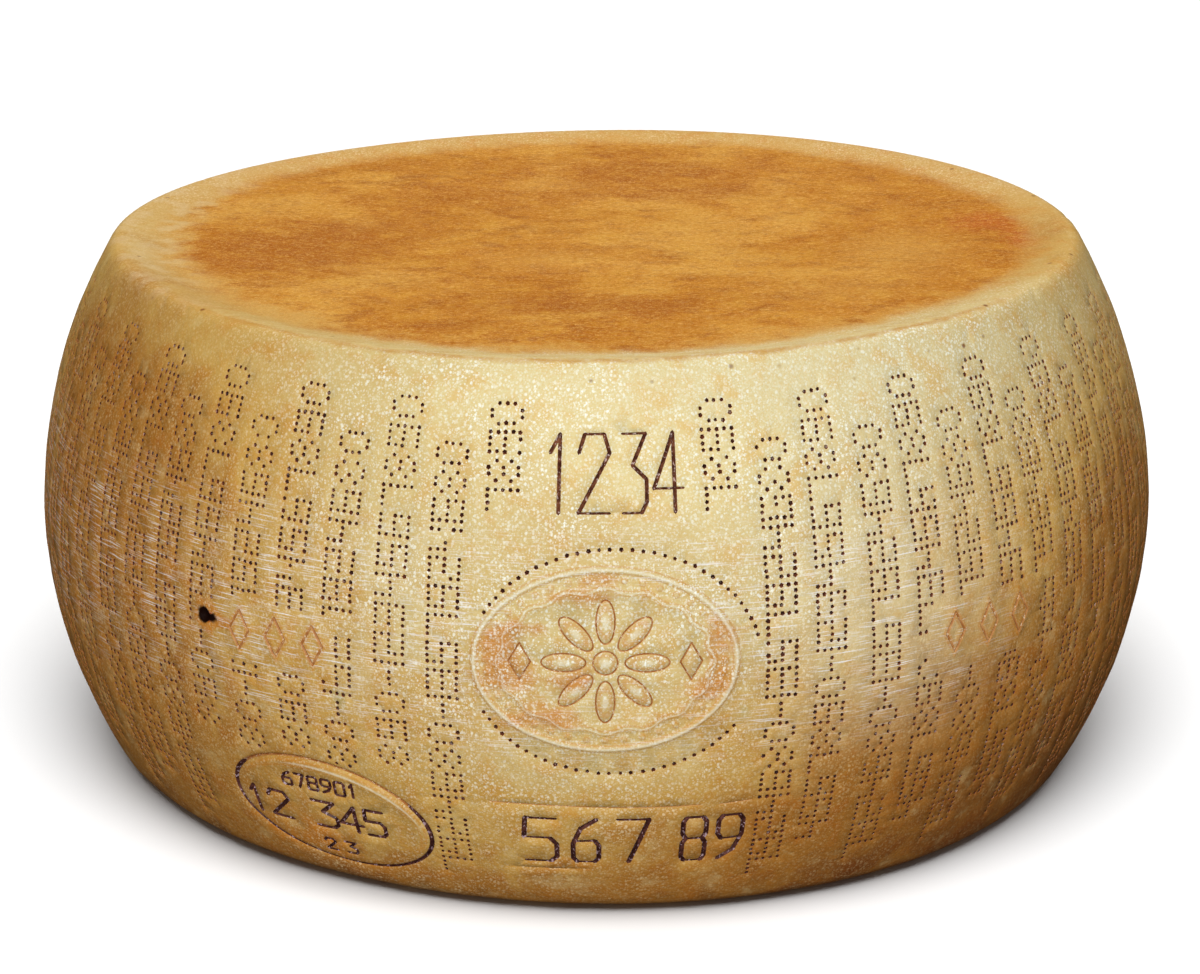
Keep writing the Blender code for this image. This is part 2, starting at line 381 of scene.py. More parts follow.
    def top_points(self, share: Values, turn: Values, raised: Values) -> Values:
        """Positions of places on the top.

        Args:
            share: Distances from the middle, as shares of the edge's.
            turn: Angles from the front, in radians.
            raised: How far each place is raised over the dished top.

        Returns:
            The positions, one a row.
        """
        edge, level = self.uneven(np.full(turn.shape, self.height), turn)
        inward = edge * (1 - share)
        flat = ring(turn, edge * share)
        rise = self.height + (level - self.height) * share
        rise -= self.lip_drop * soft_step(inward / self.lip_width)
        rise -= self.dish_drop * soft_step((inward - self.lip_width) / self.dish_width)
        spots = np.column_stack((flat, np.zeros(len(flat)))) / self.face_swell_size
        swell = lumps(spots + np.array(self.face_swell_shift), 1.0) * self.face_swell_depth
        rise += swell * soft_step(inward / self.face_swell_fade) + raised
        return np.column_stack((flat, rise)) - np.array(self.middle)

    def base_points(self, share: Values, turn: Values) -> Values:
        """Positions on the flat base, from distances as shares of the edge's and angles in radians."""
        flat = ring(turn, self.uneven(np.zeros(turn.shape), turn)[0] * share)
        return np.column_stack((flat, np.zeros(turn.shape))) - np.array(self.middle)


SHAPE = WheelShape()


@dataclass(frozen=True)
class Stamp:
    """A spot on the side with its own axes, in metres across and up, for the marks drawn there."""

    angle: float
    height: float
    tilt: float = 0.0

    def to_sheet(self, path: Sequence[Place]) -> Path:
        """Lays places out on the unrolled side.

        Args:
            path: Places across and up from the stamp's middle.

        Returns:
            The places on the sheet.
        """
        cosine, sine = math.cos(math.radians(self.tilt)), math.sin(math.radians(self.tilt))
        shrink, middle = float(SHAPE.shrink(self.height)), SHAPE.u_at(self.angle)
        return [
            (middle + (x * cosine - y * sine) / shrink, self.height + y * cosine + x * sine)
            for x, y in path
        ]

    def to_local(self, u: Values, v: Values) -> tuple[Values, Values]:
        """Finds places of the sheet in the stamp's own axes.

        Args:
            u: Places round the side.
            v: Lengths along the side.

        Returns:
            Places across and up.
        """
        across = (u - SHAPE.u_at(self.angle)) * float(SHAPE.shrink(self.height))
        return turned(across, v - self.height, -math.radians(self.tilt))


@dataclass(frozen=True)
class Groove:
    """A line cut into the side: its path in a stamp's axes, half its width, its depth and its finish."""

    stamp: Stamp
    path: Path
    half_width: float
    depth: float
    dress: Dress
    piece_length: float = 0.0045

    def outlines(self) -> list[Path]:
        """Closed outlines of the line's straight pieces, on the sheet.

        Returns:
            One path for each piece.
        """
        found = []
        for (x0, y0), (x1, y1) in zip(self.path, self.path[1:]):
            length = max(math.hypot(x1 - x0, y1 - y0), 1e-6)
            ax, ay = (x1 - x0) / length * self.half_width, (y1 - y0) / length * self.half_width
            run = steps_between((x0, y0), (x1, y1), max(1, round(length / self.piece_length)))
            left = [(x - ay, y + ax) for x, y in run]
            right = [(x + ay, y - ax) for x, y in reversed(run)]
            found.append(self.stamp.to_sheet(left + [(x1 + ax, y1 + ay)] + right + [(x0 - ax, y0 - ay)]))
        return found

    def middle_line(self) -> Path:
        """The line itself, on the sheet."""
        return self.stamp.to_sheet(self.path)

    def depths(self, u: Values, v: Values) -> Values:
        """How deep the line is cut at places on the sheet.

        Args:
            u: Places round the side.
            v: Lengths along the side.

        Returns:
            The depths, 0 beside the line.
        """
        across, up = self.stamp.to_local(u, v)
        return notch(path_distance(across, up, self.path), self.half_width, self.depth)


@dataclass(frozen=True)
class RingLine:
    """A thin closed line cut round an oval: its middle and direction in a stamp's axes, and its sizes."""

    stamp: Stamp
    middle: Place
    turn: float
    long: float
    wide: float
    half_width: float
    depth: float
    dress: Dress
    steps: int

    def loops(self) -> list[Path]:
        """Both edges and the middle of the line, on the sheet.

        Returns:
            Their closed paths.
        """
        found = []
        for shift in (-self.half_width, 0.0, self.half_width):
            round_oval = oval(self.long + shift, self.wide + shift, self.steps)
            leaning = [turned(x, y, self.turn) for x, y in round_oval]
            found.append(self.stamp.to_sheet([(x + self.middle[0], y + self.middle[1]) for x, y in leaning]))
        return found

    def depths(self, u: Values, v: Values) -> Values:
        """How deep the line is cut at places on the sheet.

        Args:
            u: Places round the side.
            v: Lengths along the side.

        Returns:
            The depths, 0 beside the line.
        """
        across, up = self.stamp.to_local(u, v)
        out, beside = turned(across - self.middle[0], up - self.middle[1], -self.turn)
        return notch(np.abs(oval_distance(out, beside, self.long, self.wide)), self.half_width, self.depth)


@dataclass(frozen=True)
class Pin:
    """A hole left by one pin: its place on the sheet, its radius, its depth and how far it was dragged."""

    place: Place
    radius: float
    depth: float
    drag: float = 1.0


PIN_DIGITS: dict[str, tuple[str, ...]] = {
    "0": (".##.", "#..#", "#..#", "#..#", ".##."),
    "1": ("#", "#", "#", "#", "#"),
    "2": ("####", "...#", "####", "#...", "####"),
    "3": ("####", "...#", "####", "...#", "####"),
    "4": ("#..#", "#..#", "####", "...#", "...#"),
    "5": ("####", "#...", "####", "...#", "####"),
    "6": ("####", "#...", "####", "#..#", "####"),
    "7": ("####", "...#", "...#", "...#", "...#"),
    "8": (".##.", "#..#", ".##.", "#..#", ".##."),
    "9": ("####", "#..#", "####", "...#", "####"),
    "-": ("...", "...", "###", "...", "..."),
}

DIGITS: dict[str, list[Path]] = {
    "0": [
        [(0.5, 0.0), (0.14, 0.0), (0.0, 0.1), (0.0, 0.9), (0.14, 1.0), (0.86, 1.0), (1.0, 0.9), (1.0, 0.1)],
        [(1.0, 0.1), (0.86, 0.0), (0.5, 0.0)],
    ],
    "1": [[(0.20, 0.76), (0.60, 1.0), (0.60, 0.0)]],
    "2": [[(0.0, 0.76), (0.18, 1.0), (0.82, 1.0), (1.0, 0.76), (0.0, 0.0), (1.0, 0.0)]],
    "3": [[(0.0, 1.0), (1.0, 1.0), (0.42, 0.60), (1.0, 0.42), (1.0, 0.14), (0.78, 0.0), (0.0, 0.0)]],
    "4": [[(0.70, 0.0), (0.70, 1.0), (0.0, 0.30), (1.0, 0.30)]],
    "5": [
        [(1.0, 1.0), (0.06, 1.0), (0.0, 0.56), (0.80, 0.56), (1.0, 0.42), (1.0, 0.12)],
        [(1.0, 0.12), (0.80, 0.0), (0.0, 0.0)],
    ],
    "6": [
        [(0.90, 1.0), (0.30, 0.80), (0.0, 0.44), (0.0, 0.10), (0.16, 0.0), (0.84, 0.0)],
        [(0.84, 0.0), (1.0, 0.10), (1.0, 0.40), (0.84, 0.52), (0.06, 0.50)],
    ],
    "7": [[(0.0, 1.0), (1.0, 1.0), (0.40, 0.0)]],
    "8": [
        [(0.14, 0.53), (0.0, 0.64), (0.0, 0.90), (0.14, 1.0), (0.86, 1.0), (1.0, 0.90), (1.0, 0.64)],
        [(1.0, 0.64), (0.86, 0.53), (0.14, 0.53), (0.0, 0.42), (0.0, 0.10), (0.14, 0.0), (0.86, 0.0)],
        [(0.86, 0.0), (1.0, 0.10), (1.0, 0.42), (0.86, 0.53)],
    ],
    "9": [
        [(0.10, 0.0), (0.70, 0.20), (1.0, 0.56), (1.0, 0.90), (0.84, 1.0), (0.16, 1.0), (0.0, 0.90)],
        [(0.0, 0.90), (0.0, 0.60), (0.16, 0.48), (0.94, 0.50)],
    ],
}


@dataclass(frozen=True)
class Numeral:
    """A row of plain digits cut into the side."""

    digits: str
    stamp: Stamp
    lefts: tuple[float, ...]
    widths: tuple[float, ...]
    tall: float
    half_width: float
    depth: float
    dress: Dress
    flat_share: float = 0.62
    flat_slope: float = 0.3

    def grooves(self) -> list[Groove]:
        """The digits' strokes, thinner where they run along the wheel.

        Returns:
            A cut line for each straight piece.
        """
        found = []
        for digit, left, wide in zip(self.digits, self.lefts, self.widths):
            for stroke in DIGITS[digit]:
                path = [(left + x * wide, (y - 0.5) * self.tall) for x, y in stroke]
                for start, end in zip(path, path[1:]):
                    is_flat = abs(end[1] - start[1]) < self.flat_slope * abs(end[0] - start[0])
                    half = self.half_width * (self.flat_share if is_flat else 1.0)
                    found.append(Groove(self.stamp, [start, end], half, self.depth, self.dress))
        return found


@dataclass(frozen=True)
class Cartouche:
    """The raised oval at the front: a ridge, a ring of beads, a rosette and a boss, in an oval of pins."""

    stamp: Stamp = Stamp(0.68, 0.1225)
    half_length: float = 0.0474
    half_width: float = 0.0339
    ridge: float = 0.0018
    rise: float = 0.0010
    petals: int = 8
    petal_reach: float = 0.0150
    petal_long: float = 0.0080
    petal_wide: float = 0.0034
    petal_rise: float = 0.0009
    boss_radius: float = 0.0042
    boss_rise: float = 0.0011
    inner_long: float = 0.0385
    inner_wide: float = 0.0266
    inner_lobes: int = 16
    inner_lobe: float = 0.0009
    lobe_steps: int = 8
    inner_ridge: float = 0.0013
    inner_rise: float = 0.0008
    beads: int = 40
    bead_long: float = 0.0432
    bead_wide: float = 0.0303
    bead_radius: float = 0.0016
    bead_rise: float = 0.0008
    side_diamond: float = 0.0308
    side_long: float = 0.0040
    side_wide: float = 0.0070
    line_half_width: float = 0.00034
    line_depth: float = 0.0004
    pins_stamp: Stamp = Stamp(1.6, 0.1210)
    pins_long: float = 0.0530
    pins_wide: float = 0.0426
    pins: int = 82
    pin_radius: float = 0.00092
    pin_depth: float = 0.0011
    pin_wander: float = 0.0001
    pin_gaps: tuple[Zone, ...] = ((-1.0, -0.046, -0.0165, 0.0165), (0.043, 1.0, -0.024, 0.007))

    def petal_turns(self) -> list[float]:
        """Each petal's direction, in radians."""
        return [2 * math.pi * petal / self.petals for petal in range(self.petals)]

    def bead_places(self) -> Path:
        """Middles of the beads, across and up."""
        return oval(self.bead_long, self.bead_wide, self.beads)

    def lobed_path(self, shift: float) -> Path:
        """The lobed inner border, closed.

        Args:
            shift: How far outside its crest the line runs.

        Returns:
            Its places, across and up.
        """
        found = []
        for step, (x, y) in enumerate(oval(1.0, 1.0, self.inner_lobes * self.lobe_steps)):
            out = shift + self.inner_lobe * math.cos(2 * math.pi * step / self.lobe_steps)
            found.append((x * (self.inner_long + out), y * (self.inner_wide + out)))
        return found + found[:1]

    def lines(self) -> list[RingLine]:
        """Thin cut lines round the petals and the boss.

        Returns:
            The lines.
        """
        cut = (self.line_half_width, self.line_depth, Dress.PALE_LINE)
        found = []
        for turn in self.petal_turns():
            middle = (self.petal_reach * math.cos(turn), self.petal_reach * math.sin(turn))
            found.append(RingLine(self.stamp, middle, turn, self.petal_long, self.petal_wide, *cut, 26))
        radius = self.boss_radius * 1.05
        return found + [RingLine(self.stamp, (0.0, 0.0), 0.0, radius, radius, *cut, 20)]

    def diamonds(self) -> list[Groove]:
        """Thin cut lines round the two diamonds beside the rosette.

        Returns:
            The lines.
        """
        cut = (self.line_half_width, self.line_depth, Dress.PALE_LINE)
        paths = (diamond(self.side_long, self.side_wide, side * self.side_diamond) for side in (-1, 1))
        return [Groove(self.stamp, path, *cut) for path in paths]

    def raised(self, u: Values, v: Values) -> Values:
        """Height of the relief.

        Args:
            u: Places round the side.
            v: Lengths along the side.

        Returns:
            The heights over the side.
        """
        across, up = self.stamp.to_local(u, v)
        total = mound(oval_distance(across, up, self.half_length, self.half_width), self.ridge, self.rise)
        total += mound(np.hypot(across, up), self.boss_radius, self.boss_rise)
        for turn in self.petal_turns():
            out, beside = turned(across, up, -turn)
            reach = np.hypot((out - self.petal_reach) / self.petal_long, beside / self.petal_wide)
            total += mound(reach, 1.0, self.petal_rise)
        for x, y in self.bead_places():
            total += mound(np.hypot(across - x, up - y), self.bead_radius, self.bead_rise)
        close = np.hypot(across / self.half_length, up / self.half_width) < 1.0
        total[close] += mound(
            path_distance(across[close], up[close], self.lobed_path(0.0)), self.inner_ridge, self.inner_rise
        )
        span = math.hypot(1 / self.side_long, 1 / self.side_wide)
        for middle in (-self.side_diamond, self.side_diamond):
            reach = np.abs(across - middle) / self.side_long + np.abs(up) / self.side_wide
            total += mound(np.maximum(0.0, (reach - 0.5) / span), self.ridge, self.petal_rise)
        return total

    def loops(self) -> list[Path]:
        """Closed lines on the sheet along the feet, flanks and crests of the relief.

        Returns:
            Their paths.
        """
        found = []
        for share in (-1.0, -0.55, 0.0, 0.55, 1.0):
            shift = share * self.ridge
            found.append(oval(self.half_length + shift, self.half_width + shift, 96))
        found.extend(self.lobed_path(self.inner_ridge * share)[:-1] for share in (-1.0, 0.0, 1.0))
        found.extend(oval(self.boss_radius * share, self.boss_radius * share, 10) for share in (0.6, 0.25))
        for turn in self.petal_turns():
            for share, count in ((0.6, 12), (0.25, 6)):
                petal = oval(self.petal_long * share, self.petal_wide * share, count)
                found.append([turned(x + self.petal_reach, y, turn) for x, y in petal])
        for x, y in self.bead_places():
            for share, count in ((1.0, 7), (0.45, 5)):
                bead = oval(self.bead_radius * share, self.bead_radius * share, count)
                found.append([(x + dx, y + dy) for dx, dy in bead])
        loops = [self.stamp.to_sheet(path) for path in found]
        for line in self.lines():
            loops.extend(line.loops())
        return loops

    def pin_ring(self, draw: random.Random) -> list[Pin]:
        """The oval of pins, broken at both ends.

        Args:
            draw: Source of the small differences.

        Returns:
            The pins.
        """
        found = []
        for x, y in oval(self.pins_long, self.pins_wide, self.pins):
            if any(is_within(x, y, gap) for gap in self.pin_gaps):
                continue
            moved = (x + draw.gauss(0, self.pin_wander), y + draw.gauss(0, self.pin_wander))
            place = self.pins_stamp.to_sheet([moved])[0]
            found.append(Pin(place, self.pin_radius * draw.uniform(0.85, 1.1), self.pin_depth))
        return found


@dataclass(frozen=True)
class LowOval:
    """The oval pressed in low on the left: a dark line with a raised shoulder over it, round plain digits."""

    stamp: Stamp = Stamp(-27.4, 0.0458, -6.9)
    half_length: float = 0.0420
    half_width: float = 0.0250
    groove: float = 0.0015
    depth: float = 0.0008
    shoulder_out: float = -0.0031
    shoulder_width: float = 0.0021
    shoulder_rise: float = 0.0009
    line_half_width: float = 0.00062
    line_depth: float = 0.0009
    wider_ends: float = 0.55
    thinner_between: float = 0.45
    ripple: float = 0.12
    ripples: int = 5
    upper_lean: float = 0.4
    upper_shift: float = 0.15
    faint_turns: tuple[float, float] = (38.0, 150.0)
    steps: int = 108
    upper_lefts: tuple[float, ...] = tuple(-0.0166 + 0.0058 * slot for slot in range(6))

    def raised(self, u: Values, v: Values) -> Values:
        """Height of the relief.

        Args:
            u: Places round the side.
            v: Lengths along the side.

        Returns:
            The heights over the side, negative in the groove.
        """
        across, up = self.stamp.to_local(u, v)
        edge = oval_distance(across, up, self.half_length, self.half_width)
        total = -mound(edge, self.groove, self.depth)
        lean = across / self.half_length * self.upper_lean
        upper = np.clip(up / self.half_width + lean + self.upper_shift, 0.0, 1.0)
        return total + upper * mound(edge - self.shoulder_out, self.shoulder_width, self.shoulder_rise)

    def is_faint(self, u: Values, v: Values) -> Values:
        """True where the line is pale, over the top of the oval.

        Args:
            u: Places round the side.
            v: Lengths along the side.

        Returns:
            One truth value for each place.
        """
        across, up = self.stamp.to_local(u, v)
        turn = np.degrees(np.arctan2(up / self.half_width, across / self.half_length))
        return (turn > self.faint_turns[0]) & (turn < self.faint_turns[1])

    def line_half_widths(self) -> list[float]:
        """Half the dark line's width at each step, wider at both ends and thin below.

        Returns:
            The half widths, in metres.
        """
        found = []
        for step in range(self.steps):
            turn = 2 * math.pi * step / self.steps
            ends, between = abs(math.cos(turn)) ** 3, 1 - abs(math.cos(turn))
            share = 1.0 + self.wider_ends * ends - self.thinner_between * between
            found.append(self.line_half_width * (share + self.ripple * math.sin(self.ripples * turn)))
        return found

    def loops(self) -> list[Path]:
        """Closed lines on the sheet along the groove, the dark line in it and the shoulder.

        Returns:
            Their paths.
        """
        found = []
        shoulder = (self.shoulder_out, self.shoulder_out - self.shoulder_width)
        for shift in (-self.groove, self.groove, *shoulder):
            found.append(oval(self.half_length + shift, self.half_width + shift, self.steps))
        for side in (-1.0, 0.0, 1.0):
            path = []
            for (x, y), half in zip(oval(1.0, 1.0, self.steps), self.line_half_widths()):
                path.append((x * (self.half_length + side * half), y * (self.half_width + side * half)))
            found.append(path)
        return [self.stamp.to_sheet(path) for path in found]

    def line_depths(self, u: Values, v: Values) -> Values:
        """How deep the dark line is cut.

        Args:
            u: Places round the side.
            v: Lengths along the side.

        Returns:
            The depths, 0 beside the line.
        """
        across, up = self.stamp.to_local(u, v)
        edge = np.abs(oval_distance(across, up, self.half_length, self.half_width))
        turn = np.arctan2(up / self.half_width, across / self.half_length) % (2 * math.pi)
        steps = np.arange(self.steps + 1) * 2 * math.pi / self.steps
        halves = self.line_half_widths()
        return notch(edge, np.interp(turn, steps, halves + halves[:1]), self.line_depth)

    def numerals(self) -> list[Numeral]:
        """The three rows of digits inside.

        Returns:
            The rows, the largest first.
        """
        deep = Dress.DEEP_LINE
        lefts, widths = (-0.0272, -0.0178, 0.0028, 0.0140, 0.0248), (0.0058, 0.0096, 0.0095, 0.0096, 0.0078)
        upper, slim, low = self.upper_lefts, (0.0040,) * 5 + (0.0026,), (-0.0066, 0.0022)
        return [
            Numeral("12345", Stamp(-29.9, 0.0452), lefts, widths, 0.0128, 0.00086, 0.0010, deep, 0.85),
            Numeral("678901", Stamp(-27.7, 0.0598), upper, slim, 0.0062, 0.00064, 0.0008, deep, 0.9),
            Numeral("23", Stamp(-27.2, 0.0290), low, (0.0046,) * 2, 0.0060, 0.00062, 0.0008, deep, 0.9),
        ]


@dataclass(frozen=True)
class Lozenges:
    """Two rows of three raised lozenges with a thin cut line along each crest."""

    angles: tuple[float, ...] = (-35.1, -31.0, -26.9, 35.0, 39.2, 43.4)
    height: float = 0.1192
    half_width: float = 0.0044
    half_height: float = 0.0076
    ridge: float = 0.0013
    rise: float = 0.0007
    line_half_width: float = 0.00058
    line_depth: float = 0.0006

    def stamps(self) -> list[Stamp]:
        """Middles of the lozenges."""
        return [Stamp(angle, self.height) for angle in self.angles]

    def raised(self, u: Values, v: Values) -> Values:
        """Height of the relief.

        Args:
            u: Places round the side.
            v: Lengths along the side.

        Returns:
            The heights over the side.
        """
        span = math.hypot(1 / self.half_width, 1 / self.half_height)
        total = np.zeros(u.shape)
        for stamp in self.stamps():
            across, up = stamp.to_local(u, v)
            edge = (np.abs(across) / self.half_width + np.abs(up) / self.half_height - 1) / span
            total += mound(edge, self.ridge, self.rise)
        return total

    def loops(self) -> list[Path]:
        """Closed lines on the sheet along the feet of the relief.

        Returns:
            Their paths.
        """
        found = []
        for stamp in self.stamps():
            for share in (0.50, 1.46):
                corners = diamond(self.half_width * share, self.half_height * share)
                path = []
                for start, end in zip(corners, corners[1:]):
                    path.extend(steps_between(start, end, 4)[:-1])
                found.append(stamp.to_sheet(path))
        return found

    def grooves(self) -> list[Groove]:
        """The thin lines along the crests."""
        path, cut = diamond(self.half_width, self.half_height), (self.line_half_width, self.line_depth)
        return [Groove(stamp, path, *cut, Dress.PALE_LINE) for stamp in self.stamps()]


@dataclass(frozen=True)
class PinColumns:
    """The columns of pricked digits all round the side, which read upward."""

    count: int = 70
    first_angle: float = 1.3
    pitch: float = 0.00272
    row_step: float = 0.00238
    gap: float = 0.0032
    even_top: float = 0.2150
    odd_top: float = 0.1995
    even_foot: float = 0.0380
    odd_foot: float = 0.0200
    radius: float = 0.00096
    depth: float = 0.0011
    wander: float = 0.00010
    missing: float = 0.018
    oval_foot: float = 0.0690
    oval_gap: float = 0.0037
    short_foot: float = 0.1690
    even_order: str = "0987654321-"
    odd_order: str = "0864297531-"
    lean_spread: float = 0.006
    shift_spread: float = 0.0004
    bare_reach: int = 2
    clear_zones: tuple[Zone, ...] = (
        (-38.4, -24.6, 0.1060, 0.1315),
        (31.9, 46.6, 0.1060, 0.1315),
        (-41.2, -35.0, 0.1165, 0.1260),
    )
    dragged_zone: Zone = (-57.0, -43.0, 0.1760, 0.2200)
    dragged_share: float = 0.35
    drag: float = 1.45

    def angle(self, column: int) -> float:
        """Direction of a column from the front, in degrees."""
        return self.first_angle + 360 * column / self.count

    def is_over_oval(self, column: int) -> bool:
        """True for a column that ends over the low oval."""
        return -8 <= column <= -4

    def span(self, column: int) -> tuple[float, float]:
        """Lengths along the side between which a column runs.

        Args:
            column: Its number, 0 at the front.

        Returns:
            Its foot and its top, equal where the column is left out.
        """
        is_even = column % 2 == 0
        foot = self.even_foot if is_even else self.odd_foot
        top = self.even_top if is_even else self.odd_top
        if abs(column) < self.bare_reach:
            return top, top
        if abs(column) == self.bare_reach:
            return self.short_foot, top
        if self.is_over_oval(column):
            return self.oval_foot, top
        return foot, top

    def column_pins(self, column: int, draw: random.Random) -> list[Pin]:
        """Pins of one column.

        Args:
            column: Its number, 0 at the front.
            draw: Source of the small differences.

        Returns:
            The pins.
        """
        foot, top = self.span(column)
        lean = draw.gauss(0, self.lean_spread)
        shift = draw.gauss(0, self.shift_spread)
        faint = draw.uniform(0.75, 1.0)
        order = self.even_order if column % 2 == 0 else self.odd_order
        slot = 0
        found = []
        level = top
        while True:
            rows = PIN_DIGITS[order[slot % len(order)]]
            tall = (len(rows[0]) - 1) * self.row_step
            if level - tall < foot:
                return found
            for row, line in enumerate(rows):
                for spot, mark in enumerate(line):
                    if mark == "." or draw.random() < self.missing:
                        continue
                    length = level - tall + spot * self.row_step + draw.gauss(0, self.wander)
                    across = (row - 2) * self.pitch + shift + lean * (length - top)
                    across += draw.gauss(0, self.wander)
                    angle = self.angle(column) + math.degrees(across / SHAPE.belly_radius)
                    if any(is_within(angle, length, zone) for zone in self.clear_zones):
                        continue
                    place = Stamp(self.angle(column), length).to_sheet([(across, 0.0)])[0]
                    size = self.radius * faint**0.5 * draw.uniform(0.86, 1.08)
                    is_beside = is_within(angle, length, self.dragged_zone)
                    drag = self.drag if is_beside and draw.random() < self.dragged_share else 1.0
                    found.append(Pin(place, size, self.depth * faint, drag))
            level -= tall + (self.oval_gap if self.is_over_oval(column) else self.gap)
            slot += 1

    def pins(self, draw: random.Random) -> list[Pin]:
        """Pins of all the columns.

        Args:
            draw: Source of the small differences.

        Returns:
            The pins.
        """
        half = self.count // 2
        found = []
        for column in range(-half, self.count - half):
            found.extend(self.column_pins(column, draw))
        return found


@dataclass(frozen=True)
class Dent:
    """A small hollow: its direction, its length along the side, its radius and its depth."""

    angle: float
    length: float
    radius: float
    depth: float
    reach: float = 1.6
    flatness: float = 1.2
    steepness: float = 1.8

    def cluster(self, pitch: float = 0.0011) -> Path:
        """Places on the sheet that give the hollow its form.

        Args:
            pitch: Distance between them.

        Returns:
            The places.
        """
        reach = self.radius * self.reach
        steps = range(-int(reach / pitch), int(reach / pitch) + 1)
        found = [((spot + 0.5 * (row % 2)) * pitch, row * pitch) for row in steps for spot in steps]
        inside = [place for place in found if math.hypot(*place) < reach]
        return Stamp(self.angle, self.length).to_sheet(inside)

    def depths(self, u: Values, v: Values) -> Values:
        """Depth of the hollow.

        Args:
            u: Places round the side.
            v: Lengths along the side.

        Returns:
            The depths.
        """
        across, up = Stamp(self.angle, self.length).to_local(u, v)
        share = np.hypot(across, up * self.flatness) / self.radius
        return self.depth * np.exp(-(share**2) * self.steepness)


DENTS = (
    (-56.5, 0.2280, 0.0030, 0.0009),
    (-51.6, 0.2290, 0.0034, 0.0010),
    (-25.4, 0.2296, 0.0030, 0.0009),
    (-23.4, 0.2290, 0.0040, 0.0011),
    (-17.5, 0.2278, 0.0026, 0.0008),
    (-31.5, 0.2300, 0.0036, 0.0008),
    (43.1, 0.2222, 0.0030, 0.0007),
    (58.0, 0.2290, 0.0038, 0.0010),
    (97.0, 0.2285, 0.0050, 0.0012),
    (141.0, 0.2292, 0.0034, 0.0009),
    (-163.0, 0.2280, 0.0044, 0.0012),
    (-118.0, 0.2290, 0.0036, 0.0010),
    (-39.5, 0.1206, 0.0023, 0.0013),
    (152.0, 0.0900, 0.0030, 0.0009),
    (-133.0, 0.1500, 0.0026, 0.0008),
)


@dataclass(frozen=True)
class Patch:
    """A soft patch of colour: its middle, its reach both ways and its strength. Angles and metres."""

    angle: float
    length: float
    reach_round: float
    reach_up: float
    strength: float = 1.0

    def cover(self, u: Values, v: Values) -> Values:
        """How much of the patch lies at places on the side.

        Args:
            u: Places round the side.
            v: Lengths along the side.

        Returns:
            The cover, from 0 to the patch's strength.
        """
        across, up = Stamp(self.angle, self.length).to_local(u, v)
        width = SHAPE.side_width()
        across = (across + width / 2) % width - width / 2
        return self.strength * np.exp(-((across / self.reach_round) ** 2) - (up / self.reach_up) ** 2)


@dataclass(frozen=True)
class FacePatch:
    """A soft patch of colour on the top: its middle and its reach both ways, in metres."""

    x: float
    y: float
    reach_x: float
    reach_y: float
    strength: float = 1.0

    def cover(self, points: Values) -> Values:
        """How much of the patch lies at positions on the top."""
        x, y = (points[:, 0] - self.x) / self.reach_x, (points[:, 1] - self.y) / self.reach_y
        return self.strength * np.exp(-x * x - y * y)


